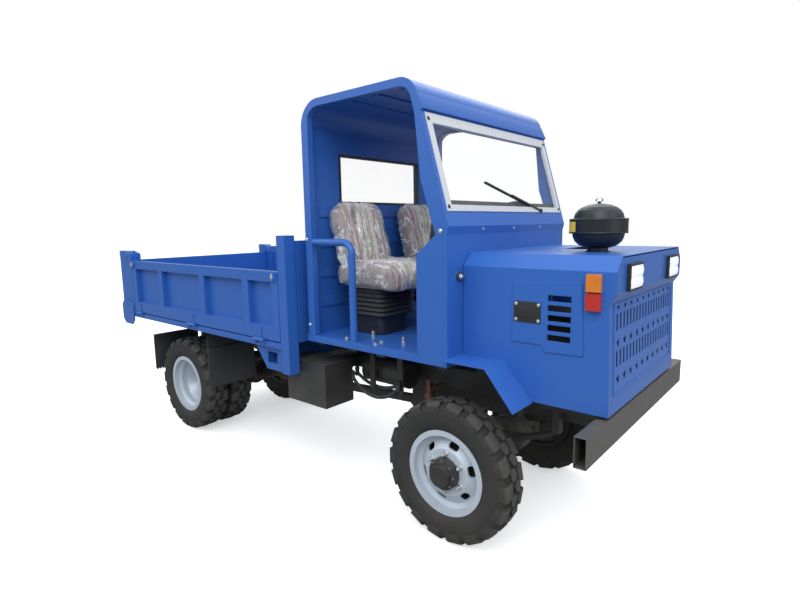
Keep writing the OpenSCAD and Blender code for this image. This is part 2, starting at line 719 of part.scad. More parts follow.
module bed_floor() color("#2456b8") at_axle() translate([0, 0, bed_z - 6]) linear_extrude(6) union() {
    // full width between the posts' corners
    translate([bed_rear + 80, -gate_in + 4]) square([bed_l - 158, 2 * gate_in - 8]);
    translate([bed_rear + 2, -bed_y + 86]) square([bed_l - 42 - fit, bed_w - 172]);
}

module bed_headboard() color("#2456b8") at_axle() {
    slab(bed_front - 40, bed_front - 8, -bed_y + 76, bed_y - 76, bed_z - 6, gate_top + 184);
    both() slab(bed_front - 76, bed_front, bed_y - 76, bed_y, bed_z - 194, gate_top + 217);
}

module bed_rear_posts() color("#2456b8") at_axle() both() {
    slab(bed_rear, bed_rear + 78, bed_y - 70, bed_y, bed_z - 6, gate_top + 62);
    // guard plate over the lower corner
    translate([bed_rear - 43, 0, bed_z - 11]) side_plate(bed_y, bed_y + 10)
        polygon([[-64, -105], [66, -105], [108, -62], [108, 62], [66, 105], [-64, 105], [-106, 62], [-106, -62]]);
    // bracket of the tailgate's hinge pin
    side_plate(bed_y - 84, bed_y - 70) difference() {
        union() {
            translate([tail_axis_x, tail_axis_z]) circle(r = 24);
            polygon([[tail_axis_x, tail_axis_z - 24], [bed_rear + 78, tail_axis_z - 60],
                [bed_rear + 78, tail_axis_z], [tail_axis_x, tail_axis_z + 24]]);
        }
        translate([tail_axis_x, tail_axis_z]) circle(r = 12 + fit);
    }
}

// Side gate of the left side
module gate() {
    x0 = bed_rear + 84;
    x1 = bed_front - 82;
    slab(x0, x1, gate_in, gate_in + 6, bed_z + 2, gate_top);
    slab(x0, x1, gate_in, bed_y, gate_top - 66, gate_top);
    slab(x0, x1, gate_in, bed_y, bed_z + 2, bed_z + 90);
    for (x = [x0, x0 + 0.228 * (x1 - x0), x0 + 0.54 * (x1 - x0), x0 + 0.81 * (x1 - x0), x1 - 70])
        slab(x, x + 70, gate_in, bed_y, bed_z + 2, gate_top);
    // latch handles
    for (x = [x0 + 14, x1 - 56])
        slab(x, x + 42, bed_y, bed_y + 14, gate_top - 58, gate_top - 12);
    for (x = gate_hinges) difference() {
        union() {
            translate([0, gate_axis_y, gate_axis_z]) rod_x(x - 24, x + 24, 11);
            slab(x - 24, x + 24, bed_y, bed_y + 5, gate_axis_z, bed_z + 80);
        }
        translate([0, gate_axis_y, gate_axis_z]) rod_x(x - 60, x + 60, 6 + fit);
    }
}

module gate_left() color("#2456b8") at_axle() gate();

module gate_right() color("#2456b8") at_axle() mirror([0, 1, 0]) gate();

module tailgate() color("#2456b8") at_axle() {
    x = bed_rear - 6;
    slab(x - 6, x, -bed_y + 6, bed_y - 6, bed_z - 4, gate_top);
    slab(x - 60, x, -bed_y + 6, bed_y - 6, gate_top - 66, gate_top);
    slab(x - 60, x, -bed_y + 6, bed_y - 6, bed_z - 4, bed_z + 80);
    both() {
        slab(bed_rear - tail_d, x, bed_y - 60, bed_y - 6, bed_z - 4, gate_top);
        slab(bed_rear - tail_d, tail_axis_x, bed_y - 60, bed_y - 6, gate_top - 10, tail_axis_z + 24);
        translate([tail_axis_x, 0, tail_axis_z]) {
            rod_y(bed_y - 60, bed_y - 6, 24);
            rod_y(bed_y - 92, bed_y - 20, 12);
        }
    }
    for (y = [-350, 0, 350]) slab(x - 60, x, y - 35, y + 35, bed_z - 4, gate_top);
}

module lift_barrel() color("#26272a") at_axle() translate([lift_bx, 0, lift_bz])
    rotate([0, lift_turn, 0]) {
        rod_y(-60, 60, 20);
        rod_y(-34, 34, 40);
        difference() {
            union() {
                rod_x(-lift_len + 260, -62, 55);
                rod_x(-80, 0, 30);
            }
            rod_x(-lift_len, -120, 26);
        }
    }

module lift_rod() color("#c9ccd0") at_axle() translate([lift_bx, 0, lift_bz])
    rotate([0, lift_turn, 0]) {
        rod_x(-lift_len, -500, 25);
        translate([-lift_len, 0, 0]) rod_y(-28, 28, 34);
        translate([-lift_len, 0, 0]) rod_y(-48, 48, 14);
    }

frame_rails();
frame_crossmembers();
front_bumper();
engine_gearbox();
propshafts();
front_axle();
rear_axle();
leaf_springs();
battery_box();
mudflaps();
hydraulic_hoses();
hood_shell();
hood_front();
headlamp_housings();
headlamp_lenses();
indicator_lenses();
marker_lenses();
air_cleaner();
front_fenders();
cab_floor();
cab_side_frames();
cab_roof();
cab_rear_wall();
cab_cowl();
windscreen_frame();
cab_glass();
window_gasket();
grab_rails();
seat_bases();
seats();
dashboard();
cab_controls();
wiper();
steering_wheel();
knuckle_left();
knuckle_right();
tie_rod();
tyre_front_left();
tyre_front_right();
tyres_rear_left();
tyres_rear_right();
rim_front_left();
rim_front_right();
rims_rear_left();
rims_rear_right();
bed_subframe();
bed_floor();
bed_headboard();
bed_rear_posts();
gate_left();
gate_right();
tailgate();
lift_barrel();
lift_rod();
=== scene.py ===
import json
import math

import bmesh
import bpy
from mathutils import Matrix, Vector, noise


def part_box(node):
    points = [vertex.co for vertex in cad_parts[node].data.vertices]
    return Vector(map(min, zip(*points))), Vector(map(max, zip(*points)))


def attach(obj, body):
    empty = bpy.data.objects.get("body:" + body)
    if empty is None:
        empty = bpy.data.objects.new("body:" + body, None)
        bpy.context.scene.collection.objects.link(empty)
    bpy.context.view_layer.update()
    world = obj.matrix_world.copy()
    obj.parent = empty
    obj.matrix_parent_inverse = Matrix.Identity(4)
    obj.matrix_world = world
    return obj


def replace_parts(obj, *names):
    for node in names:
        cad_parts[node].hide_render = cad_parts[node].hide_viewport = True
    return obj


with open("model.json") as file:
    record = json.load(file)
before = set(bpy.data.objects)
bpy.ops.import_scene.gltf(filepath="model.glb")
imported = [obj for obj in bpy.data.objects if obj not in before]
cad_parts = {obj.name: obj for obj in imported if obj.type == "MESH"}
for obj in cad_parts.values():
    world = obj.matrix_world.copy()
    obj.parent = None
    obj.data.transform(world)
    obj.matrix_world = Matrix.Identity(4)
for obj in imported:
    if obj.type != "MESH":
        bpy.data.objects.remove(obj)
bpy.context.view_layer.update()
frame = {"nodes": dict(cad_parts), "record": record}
nodes = frame["nodes"]
scene = bpy.context.scene
print("frame loaded,", len(nodes), "nodes")


# places that more than one piece reads, all from the frame
def corners(node):
    return [Vector(v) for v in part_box(node)]


def middle(node):
    low, high = corners(node)
    return (low + high) / 2


frontAxle = middle("tyre_front_right").x
rearAxle = middle("tyres_rear_right").x
wheelHeight = middle("tyre_front_right").z
print("axles at", round(frontAxle, 3), round(rearAxle, 3))

# the photo's own camera, fitted to the object
cameraSet = {
    "place": (2.7635, -2.6701, 1.6433),  # metres
    "yaw": -40.4,  # degrees from +Y towards +X
    "pitch": -8.273,
    "roll": -0.9,
    "lens": 23.56,  # mm on a 36 mm wide sensor
    "sensor": 36,
}


def makeCamera(s):
    yaw, pitch, roll = (math.radians(s[k]) for k in ("yaw", "pitch", "roll"))
    ahead = Vector((math.sin(yaw) * math.cos(pitch), math.cos(yaw) * math.cos(pitch), math.sin(pitch)))
    side = Vector((math.cos(yaw), -math.sin(yaw), 0))
    upward = side.cross(ahead)
    right = side * math.cos(roll) + upward * math.sin(roll)
    top = upward * math.cos(roll) - side * math.sin(roll)
    turn = Matrix((right, top, -ahead)).transposed().to_4x4()
    data = bpy.data.cameras.new("photoCamera")
    data.sensor_width = s["sensor"]
    data.lens = s["lens"]
    obj = bpy.data.objects.new("photoCamera", data)
    obj.matrix_world = Matrix.Translation(s["place"]) @ turn
    scene.collection.objects.link(obj)
    scene.camera = obj


makeCamera(cameraSet)


# shader helpers: a value or a socket may feed any input
def feed(tree, node, links):
    for key, value in links.items():
        if isinstance(value, bpy.types.NodeSocket):
            tree.links.new(value, node.inputs[key])
        else:
            node.inputs[key].default_value = value


def addNode(tree, kind, links=None, **values):
    node = tree.nodes.new("ShaderNode" + kind)
    for key, value in values.items():
        setattr(node, key, value)
    feed(tree, node, links or {})
    return node


def addMath(tree, operation, a, b=None, clamp=False):
    links = {0: a} if b is None else {0: a, 1: b}
    return addNode(tree, "Math", links, operation=operation, use_clamp=clamp).outputs[0]


def mixColor(tree, factor, a, b):
    return addNode(tree, "Mix", {0: factor, 6: a, 7: b}, data_type="RGBA").outputs[2]


def newMaterial(name):
    mat = bpy.data.materials.new(name)
    mat.use_nodes = True
    return mat, mat.node_tree, mat.node_tree.nodes["Principled BSDF"]


# light and floor
lightSet = {
    "sky": (0.29, 1.28),  # strength at the horizon and overhead
    "skyTop": 0.8,  # height from which the overhead strength holds
    "skyTint": (0.88, 0.95, 1.0),
    "aim": (0, 0, 1.0),
    "lamps": {
        "key": {"place": (3.5, -4.5, 6.0), "size": 5.0, "watts": 260},
        "fill": {"place": (-4.5, -5.5, 4.5), "size": 6.0, "watts": 75},
        "rim": {"place": (-2.0, 6.0, 6.0), "size": 6.0, "watts": 150},
        "front": {"place": (7.5, -0.5, 3.6), "size": 5.0, "watts": 90},
    },
    "floorTone": 0.88, "floorBounce": 0.30, "floorGlow": 0.50, "floorSize": 60.0,
}


def makeSky(s):
    world = bpy.data.worlds.new("studio")
    scene.world = world
    world.use_nodes = True
    tree = world.node_tree
    tree.nodes.clear()
    high = addNode(tree, "SeparateXYZ", {0: addNode(tree, "TexCoord").outputs["Generated"]}).outputs["Z"]
    climb = addNode(tree, "MapRange", {"Value": high, "From Min": 0.0, "From Max": s["skyTop"],
                                       "To Min": s["sky"][0], "To Max": s["sky"][1]})
    lit = addNode(tree, "Background", {"Color": s["skyTint"] + (1,), "Strength": climb.outputs[0]})
    white = addNode(tree, "Background", {"Color": (1, 1, 1, 1), "Strength": 1.0})
    seen = addNode(tree, "LightPath").outputs["Is Camera Ray"]
    pick = addNode(tree, "MixShader", {0: seen, 1: lit.outputs[0], 2: white.outputs[0]})
    addNode(tree, "OutputWorld", {0: pick.outputs[0]})


def makeLamps(s):
    for name, lamp in s["lamps"].items():
        data = bpy.data.lights.new(name, "AREA")
        data.size = lamp["size"]
        data.energy = lamp["watts"]
        obj = bpy.data.objects.new(name, data)
        obj.location = lamp["place"]
        obj.rotation_euler = (Vector(s["aim"]) - obj.location).to_track_quat("-Z", "Y").to_euler()
        scene.collection.objects.link(obj)


def makeFloor(s):
    mesh = bpy.data.meshes.new("floor")
    half = s["floorSize"] / 2
    mesh.from_pydata([(-half, -half, 0), (half, -half, 0), (half, half, 0), (-half, half, 0)], [], [(0, 1, 2, 3)])
    floor = bpy.data.objects.new("floor", mesh)
    scene.collection.objects.link(floor)
    mat, tree, bsdf = newMaterial("floorPale")
    seen = addNode(tree, "LightPath").outputs["Is Camera Ray"]
    tone = mixColor(tree, seen, (s["floorBounce"],) * 3 + (1,), (s["floorTone"],) * 3 + (1,))
    glow = addMath(tree, "MULTIPLY", seen, s["floorGlow"])
    feed(tree, bsdf, {"Base Color": tone, "Emission Color": (1, 1, 1, 1), "Emission Strength": glow, "Roughness": 0.9,
                      "Specular IOR Level": 0.1})
    mesh.materials.append(mat)


makeSky(lightSet)
makeLamps(lightSet)
makeFloor(lightSet)
scene.view_settings.view_transform = "Standard"
print("camera, light and floor made")


# shader node groups shared by the materials
def newGroup(name, inputs, outputs):
    group = bpy.data.node_groups.new(name, "ShaderNodeTree")
    for label, kind, value in inputs:
        socket = group.interface.new_socket(name=label, in_out="INPUT", socket_type="NodeSocket" + kind)
        socket.default_value = value
    for label, kind in outputs:
        group.interface.new_socket(name=label, in_out="OUTPUT", socket_type="NodeSocket" + kind)
    return group, group.nodes.new("NodeGroupInput"), group.nodes.new("NodeGroupOutput")


# dust that lies on faces that look up and gathers near the ground
def makeDustGroup():
    group, src, out = newGroup(
        "groundDust",
        [("Color", "Color", (0.5, 0.5, 0.5, 1)), ("Dust", "Color", (0.34, 0.30, 0.25, 1)),
         ("Roughness", "Float", 0.4), ("Amount", "Float", 0.3), ("Reach", "Float", 0.9), ("Scale", "Float", 6.0),
         ("Variation", "Float", 0.08)],
        [("Color", "Color"), ("Roughness", "Float")])
    place = addNode(group, "TexCoord").outputs["Object"]
    cloud = addNode(group, "TexNoise", {"Vector": place, "Scale": src.outputs["Scale"], "Detail": 6.0,
                                        "Roughness": 0.62}).outputs["Fac"]
    fine = addNode(group, "TexNoise", {"Vector": place, "Scale": 70.0, "Detail": 3.0}).outputs["Fac"]
    height = addNode(group, "SeparateXYZ", {0: place}).outputs["Z"]
    low = addMath(group, "SUBTRACT", 1.0, addMath(group, "DIVIDE", height, src.outputs["Reach"]), clamp=True)
    up = addNode(group, "SeparateXYZ", {0: addNode(group, "NewGeometry").outputs["Normal"]}).outputs["Z"]
    up = addMath(group, "MULTIPLY", addMath(group, "MAXIMUM", up, 0.0), 0.35)
    spread = addMath(group, "ADD", addMath(group, "MULTIPLY", low, 0.9), up)
    patch = addMath(group, "MULTIPLY", spread, addMath(group, "MULTIPLY", cloud, 1.7))
    speckle = addMath(group, "ADD", addMath(group, "MULTIPLY", fine, 0.8), 0.5)
    patch = addMath(group, "MULTIPLY", patch, speckle)
    mask = addMath(group, "MULTIPLY", patch, src.outputs["Amount"], clamp=True)
    tone = addMath(group, "MULTIPLY", addMath(group, "SUBTRACT", cloud, 0.5), src.outputs["Variation"])
    value = addMath(group, "ADD", 1.0, tone)
    shifted = addNode(group, "HueSaturation", {"Color": src.outputs["Color"], "Value": value}).outputs[0]
    rough = addMath(group, "ADD", src.outputs["Roughness"], addMath(group, "MULTIPLY", mask, 0.5))
    rough = addMath(group, "ADD", rough, addMath(group, "MULTIPLY", tone, 1.5), clamp=True)
    feed(group, out, {"Color": mixColor(group, mask, shifted, src.outputs["Dust"]), "Roughness": rough})
    return group


# fine unevenness of a surface, as a height
def makePeelGroup():
    group, src, out = newGroup(
        "surfacePeel", [("Scale", "Float", 220.0), ("Broad", "Float", 3.0), ("Broad Amount", "Float", 0.0)],
        [("Height", "Float")])
    place = addNode(group, "TexCoord").outputs["Object"]
    fine = addNode(group, "TexNoise", {"Vector": place, "Scale": src.outputs["Scale"], "Detail": 2.0})
    broad = addNode(group, "TexNoise", {"Vector": place, "Scale": src.outputs["Broad"], "Detail": 1.0})
    wave = addMath(group, "MULTIPLY", broad.outputs["Fac"], src.outputs["Broad Amount"])
    group.links.new(addMath(group, "ADD", fine.outputs["Fac"], wave), out.inputs["Height"])
    return group


groundDust = makeDustGroup()
surfacePeel = makePeelGroup()


def groupNode(tree, group, **values):
    node = tree.nodes.new("ShaderNodeGroup")
    node.node_tree = group
    feed(tree, node, {key.replace("_", " "): value for key, value in values.items()})
    return node


def addBumps(tree, bsdf, strength, scale, broad, amount):
    peel = groupNode(tree, surfacePeel, Scale=scale, Broad=broad, Broad_Amount=amount)
    bump = addNode(tree, "Bump", {"Strength": strength, "Distance": 0.002, "Height": peel.outputs["Height"]})
    tree.links.new(bump.outputs[0], bsdf.inputs["Normal"])
    return bump


# one material with dust and unevenness over a plain finish
def coatedMaterial(name, s):
    mat, tree, bsdf = newMaterial(name)
    dust = groupNode(tree, groundDust, Color=s["color"] + (1,), Dust=s.get("dustColor", (0.30, 0.27, 0.23)) + (1,),
                     Roughness=s["rough"], Amount=s.get("dust", 0.2), Reach=s.get("reach", 0.9),
                     Scale=s.get("scale", 5.0), Variation=s.get("variation", 0.1))
    bump = addBumps(tree, bsdf, s["bump"], s.get("peel", 240.0), s.get("broad", 3.0), s.get("broadAmount", 0.0))
    if "fold" in s:  # folded sheet catches light along its edges
        soft = addNode(tree, "Bevel", {"Radius": s["fold"]}, samples=4)
        tree.links.new(soft.outputs[0], bump.inputs["Normal"])
    feed(tree, bsdf, {
        "Base Color": dust.outputs["Color"], "Roughness": dust.outputs["Roughness"], "Metallic": s.get("metal", 0.0),
        "Coat Weight": s.get("coat", 0.0), "Coat Roughness": s.get("coatRough", 0.1),
        "Specular IOR Level": s.get("specular", 0.5), "Emission Color": s["color"] + (1,),
        "Emission Strength": s.get("glow", 0.0)})
    return mat


finishes = {
    "bluePaint": {"color": (0.027, 0.122, 0.46), "rough": 0.36, "coat": 0.16, "coatRough": 0.14, "specular": 0.38,
                  "dust": 0.06, "reach": 1.1, "bump": 0.06, "broad": 5.0, "broadAmount": 1.2, "fold": 0.005},
    "blackPaint": {"color": (0.018, 0.018, 0.02), "rough": 0.46, "dust": 0.35, "reach": 1.1, "variation": 0.3,
                   "bump": 0.08},
    "bareSteel": {"color": (0.145, 0.139, 0.132), "rough": 0.5, "metal": 0.55, "dust": 0.22, "reach": 1.6,
                  "dustColor": (0.16, 0.10, 0.06), "variation": 0.5, "bump": 0.10, "fold": 0.003},
    "castMetal": {"color": (0.022, 0.022, 0.024), "rough": 0.6, "dust": 0.6, "variation": 0.4, "bump": 0.25,
                  "peel": 160.0},
    "blackRubber": {"color": (0.028, 0.029, 0.035), "rough": 0.62, "dust": 0.3, "variation": 0.3, "bump": 0.10,
                    "peel": 300.0},
    "blackPlastic": {"color": (0.02, 0.02, 0.021), "rough": 0.5, "dust": 0.1, "variation": 0.2, "bump": 0.12,
                     "peel": 500.0},
    "tyreRubber": {"color": (0.024, 0.024, 0.026), "rough": 0.78, "dust": 0.55, "dustColor": (0.16, 0.14, 0.11),
                   "reach": 1.0, "variation": 0.4, "bump": 0.16, "peel": 340.0, "scale": 9.0},
    "rimSilver": {"color": (0.56, 0.62, 0.70), "rough": 0.42, "metal": 0.35, "dust": 0.25, "variation": 0.12,
                  "bump": 0.06},
    "filterBlack": {"color": (0.008, 0.010, 0.014), "rough": 0.38, "dust": 0.06, "variation": 0.2, "bump": 0.06},
    "rodChrome": {"color": (0.75, 0.76, 0.78), "rough": 0.12, "metal": 1.0, "dust": 0.1, "bump": 0.02},
    "zincPlate": {"color": (0.62, 0.64, 0.66), "rough": 0.3, "metal": 0.9, "dust": 0.1, "bump": 0.05},
    "lampChrome": {"color": (0.93, 0.94, 0.95), "rough": 0.2, "metal": 0.35, "dust": 0.02, "bump": 0.02, "glow": 0.32},
    "labelYellow": {"color": (0.80, 0.58, 0.05), "rough": 0.4, "dust": 0.05, "bump": 0.02},
    "rustedSteel": {"color": (0.20, 0.085, 0.035), "rough": 0.75, "metal": 0.2, "dust": 0.5, "variation": 0.8,
                    "bump": 0.3, "scale": 30.0},
    "greyStrip": {"color": (0.60, 0.61, 0.63), "rough": 0.5, "dust": 0.05, "bump": 0.04},
}
materials = {name: coatedMaterial(name, s) for name, s in finishes.items()}


def lensMaterial(name, color, glow):
    mat, tree, bsdf = newMaterial(name)
    place = addNode(tree, "TexCoord").outputs["Object"]
    cloud = addNode(tree, "TexNoise", {"Vector": place, "Scale": 30.0, "Detail": 2.0})
    tint = mixColor(tree, cloud.outputs["Fac"], color + (1,), tuple(c * 0.8 for c in color) + (1,))
    feed(tree, bsdf, {"Base Color": tint, "Roughness": 0.14, "Coat Weight": 0.6, "Emission Color": tint,
                      "Emission Strength": glow})
    return mat


lenses = {"amberLens": ((0.72, 0.22, 0.02), 0.08), "redLens": ((0.55, 0.03, 0.02), 0.05),
          "lampLens": ((0.86, 0.88, 0.90), 0.10)}
for name, (color, glow) in lenses.items():
    materials[name] = lensMaterial(name, color, glow)


def glassMaterial(tone, clearness):
    mat, tree, bsdf = newMaterial("clearGlass")
    place = addNode(tree, "TexCoord").outputs["Object"]
    smear = addNode(tree, "TexNoise", {"Vector": place, "Scale": 2.5, "Detail": 3.0})
    alpha = addMath(tree, "ADD", addMath(tree, "MULTIPLY", smear.outputs["Fac"], 0.03), 1.0 - clearness)
    feed(tree, bsdf, {"Base Color": tone + (1,), "Roughness": 0.02, "Alpha": alpha})
    return mat


materials["clearGlass"] = glassMaterial((0.92, 0.96, 0.97), 0.975)

slotFinish = {
    "blue_paint": "bluePaint", "black_paint": "blackPaint", "bare_steel": "bareSteel", "cast_metal": "castMetal",
    "black_rubber": "blackRubber", "black_plastic": "blackPlastic", "lamp_glass": "lampLens", "amber_lens": "amberLens",
    "red_lens": "redLens", "clear_glass": "clearGlass", "seat_fabric": "blackPlastic", "tyre_rubber": "tyreRubber",
    "rim_silver": "rimSilver", "rod_chrome": "rodChrome",
}
for entry in frame["record"]["subparts"]:
    obj = nodes[entry["node"]]
    obj.data.materials.clear()
    obj.data.materials.append(materials[slotFinish[entry["material_slot"]]])
nodes["air_cleaner"].data.materials[0] = materials["filterBlack"]
print("materials on the frame's nodes")


# mesh helpers that every piece uses
def finishPiece(name, bm, finish, sharp=32, body="chassis"):
    mesh = bpy.data.meshes.new(name)
    bmesh.ops.recalc_face_normals(bm, faces=bm.faces)
    bm.to_mesh(mesh)
    bm.free()
    mesh.polygons.foreach_set("use_smooth", [True] * len(mesh.polygons))
    mesh.set_sharp_from_angle(angle=math.radians(sharp))
    mesh.materials.append(materials[finish])
    obj = bpy.data.objects.new(name, mesh)
    scene.collection.objects.link(obj)
    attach(obj, body)
    return obj


def loft(bm, rings, closed=False):
    made = [[bm.verts.new(p) for p in ring] for ring in rings]
    pairs = list(zip(made, made[1:])) + ([(made[-1], made[0])] if closed else [])
    for a, b in pairs:
        for i in range(len(a)):
            j = (i + 1) % len(a)
            bm.faces.new((a[i], a[j], b[j], b[i]))
    if not closed:
        bm.faces.new(made[0][::-1])
        bm.faces.new(made[-1])
    return made


def angles(count, start=0.0):
    return [2 * math.pi * k / count + start for k in range(count)]


# turned shape: pairs of radius and height along an axis
def turnedRings(base, axis, profile, sides, turn=0.0):
    w = Vector(axis).normalized()
    u = w.orthogonal().normalized()
    v = w.cross(u)
    base = Vector(base)
    return [[base + w * h + (u * math.cos(a) + v * math.sin(a)) * r for a in angles(sides, turn)] for r, h in profile]


# hexagon head with its washer
def addBolt(bm, base, axis, r, h):
    loft(bm, turnedRings(base, axis, [(r * 1.5, -0.001), (r * 1.5, h * 0.18), (r * 1.42, h * 0.25)], 16))
    loft(bm, turnedRings(base, axis, [(r * 1.12, 0), (r * 1.12, h * 0.82), (r * 0.92, h)], 6, 0.4))


def addBox(bm, low, high, bevel):
    x0, y0, z0 = low
    x1, y1, z1 = high
    part = bmesh.new()
    loft(part, [[Vector((x, y, z)) for x, y in ((x0, y0), (x1, y0), (x1, y1), (x0, y1))] for z in (z0, z1)])
    bmesh.ops.bevel(part, geom=part.edges[:], offset=bevel, segments=2, profile=0.6, affect="EDGES")
    temp = bpy.data.meshes.new("temp")
    part.to_mesh(temp)
    part.free()
    bm.from_mesh(temp)
    bpy.data.meshes.remove(temp)


# hydraulic hoses: each hangs in an arc between two upright fittings, as in the frame's node
hoseSet = {
    "radius": 0.011, "fitting": 0.015, "points": 32, "sides": 16,
    "routes": {"hose_near": {"edge": 0, "drop": 0.060, "sag": 0.090},
               "hose_far": {"edge": 1, "drop": 0.040, "sag": 0.060}},
    "collar": [(0.0120, -0.020), (0.0148, -0.018), (0.0148, -0.002), (0.0132, 0.0), (0.0132, 0.012), (0.0125, 0.014),
               (0.0125, 0.040)],
    "nut": [(0.0130, 0.015), (0.0150, 0.017), (0.0150, 0.033), (0.0130, 0.035)],
}


def makeHoses(s):
    low, high = corners("hydraulic_hoses")
    x0, x1 = low.x + s["fitting"], high.x - s["fitting"]
    half = (x1 - x0) / 2
    fittings = bmesh.new()
    hoses = []
    for name, route in s["routes"].items():
        y = (low.y + s["fitting"], high.y - s["fitting"])[route["edge"]]
        z = high.z - route["drop"]
        bend = (half * half + route["sag"] ** 2) / (2 * route["sag"])
        turn = math.asin(half / bend)
        centre = Vector((x0 + half, y, z - route["sag"] + bend))
        path, rings = [], []
        for k in range(s["points"] + 1):
            a = turn * (2 * k / s["points"] - 1)
            away = Vector((math.sin(a), 0, -math.cos(a)))
            path.append(centre + away * bend)
            rings.append([path[-1] + (away * math.cos(t) + Vector((0, 1, 0)) * math.sin(t)) * s["radius"]
                          for t in angles(s["sides"])])
        bm = bmesh.new()
        loft(bm, rings)
        hose = finishPiece(name, bm, "blackRubber", 60)
        hoses.append(hose)
        for x in (x0, x1):
            loft(fittings, turnedRings((x, y, z), (0, 0, 1), s["collar"], 24))
            loft(fittings, turnedRings((x, y, z), (0, 0, 1), s["nut"], 6))
    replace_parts(hoses[0], "hydraulic_hoses")
    finishPiece("hose_fittings", fittings, "blackPaint", 30)


makeHoses(hoseSet)
print("hoses made")

# tyres: a turned carcass with shoulder lugs, middle blocks and side ribs
tyreSet = {
    "segments": 144, "tip": 0.375, "half": 0.092, "pitches": 18,
    "carcass": [(0.207, -0.069), (0.226, -0.0705), (0.232, -0.076), (0.246, -0.083), (0.268, -0.0895),
                (0.292, -0.0915), (0.316, -0.0905), (0.337, -0.0880), (0.349, -0.082), (0.357, -0.068),
                (0.361, -0.035), (0.362, 0.0)],
    "shoulder": [(0.034, 0.372), (0.070, 0.3715), (0.0815, 0.366), (0.0905, 0.352), (0.0925, 0.322), (0.0885, 0.318),
                 (0.072, 0.345), (0.034, 0.348)],
    "lugSteps": ((-0.044, 0.94), (-0.040, 1.0), (0.040, 1.0), (0.044, 0.94)), "lugLean": 0.22, "lugPivot": 0.09,
    "middle": [(0.052, 0.032), (0.092, 0.040), (0.112, 0.026), (0.110, -0.004), (0.082, -0.012), (0.052, 0.004)],
    "blockFoot": 0.346, "blockEdge": (0.004, 0.001),
    "wornFrom": 0.36, "faintWear": 0.15,
    "ribs": 90, "ribEnds": ((0.305, 0.0895), (0.350, 0.0745)), "ribHalf": 0.0034, "ribSink": 0.006, "ribRise": 0.0035,
}


def tyreMaterial():
    mat, tree, bsdf = newMaterial("tyreTread")
    dust = groupNode(tree, groundDust, Color=finishes["tyreRubber"]["color"] + (1,), Dust=(0.13, 0.115, 0.09, 1),
                     Roughness=0.74, Amount=0.30, Reach=1.3, Scale=7.0, Variation=0.5)
    worn = addNode(tree, "Attribute", attribute_name="tread").outputs["Fac"]
    place = addNode(tree, "TexCoord").outputs["Object"]
    patch = addNode(tree, "TexNoise", {"Vector": place, "Scale": 22.0, "Detail": 5.0, "Roughness": 0.65})
    cover = addMath(tree, "MULTIPLY", addMath(tree, "MULTIPLY", worn, patch.outputs["Fac"]), 1.25, clamp=True)
    soiled = mixColor(tree, cover, dust.outputs["Color"], (0.112, 0.108, 0.100, 1))
    rough = addMath(tree, "ADD", dust.outputs["Roughness"], addMath(tree, "MULTIPLY", cover, 0.15), clamp=True)
    feed(tree, bsdf, {"Base Color": soiled, "Roughness": rough, "Specular IOR Level": 0.35})
    addBumps(tree, bsdf, 0.22, 330.0, 40.0, 1.2)
    return mat


materials["tyreTread"] = tyreMaterial()


def mean(values):
    return sum(values) / len(values)


def addTyre(bm, worn, centre, s, startTurn):
    def at(angle, r, y):
        return Vector((centre.x + r * math.cos(angle), centre.y + y, centre.z + r * math.sin(angle)))

    half = s["carcass"]
    outline = half + [(r, -y) for r, y in half[-2::-1]]
    loft(bm, [[at(a, r, y) for r, y in outline] for a in angles(s["segments"])], closed=True)
    tip, pitch = s["tip"], 2 * math.pi / s["pitches"]
    cy, cr = mean([v for v, r in s["shoulder"]]), mean([r for v, r in s["shoulder"]])
    mu, mv = mean([u for u, v in s["middle"]]), mean([v for u, v in s["middle"]])
    for side in (-1, 1):
        for k in range(s["pitches"]):
            a = startTurn + (k + (0.5 if side < 0 else 0)) * pitch
            rings = [[at(a + (u + s["lugLean"] * (s["lugPivot"] - v)) / tip, cr + (r - cr) * grow,
                         side * (cy + (v - cy) * grow)) for v, r in s["shoulder"]] for u, grow in s["lugSteps"]]
            for ring in loft(bm, rings)[1:3]:
                for vert in ring:
                    reach = math.hypot(vert.co.x - centre.x, vert.co.z - centre.z)
                    vert[worn] = 1.0 if reach > s["wornFrom"] else s["faintWear"]
            edge, crown = s["blockEdge"]
            steps = ((s["blockFoot"], 1.05), (tip - edge, 1.0), (tip - crown, 0.96), (tip, 0.90))
            rings = [[at(a + (mu + (u - mu) * grow) / tip, r, side * (mv + (v - mv) * grow)) for u, v in s["middle"]]
                     for r, grow in steps]
            for ring in loft(bm, rings)[2:]:
                for vert in ring:
                    vert[worn] = 1.0
        w, sink, rise = s["ribHalf"], s["ribSink"], s["ribRise"]
        for a in angles(s["ribs"], startTurn):
            loft(bm, [[at(a - w / r, r, side * (y - sink)), at(a + w / r, r, side * (y - sink)),
                       at(a + 0.5 * w / r, r, side * (y + rise)), at(a - 0.5 * w / r, r, side * (y + rise))]
                      for r, y in s["ribEnds"]])


def makeTyres(s):
    pairs = {"tyre_front_left": "wheel_front_left", "tyre_front_right": "wheel_front_right",
             "tyres_rear_left": "wheels_rear_left", "tyres_rear_right": "wheels_rear_right"}
    for node, body in pairs.items():
        low, high = corners(node)
        mid = (low + high) / 2
        bm = bmesh.new()
        worn = bm.verts.layers.float.new("tread")
        spread = (high.y - low.y) / 2 - s["half"]
        places = [mid.y] if node.startswith("tyre_") else [mid.y - spread, mid.y + spread]
        for k, y in enumerate(places):
            addTyre(bm, worn, Vector((mid.x, y, mid.z)), s, math.radians(90 + 3 * k))
        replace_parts(finishPiece("detail_" + node, bm, "tyreTread", 28, body), node)


makeTyres(tyreSet)
print("tyres made")

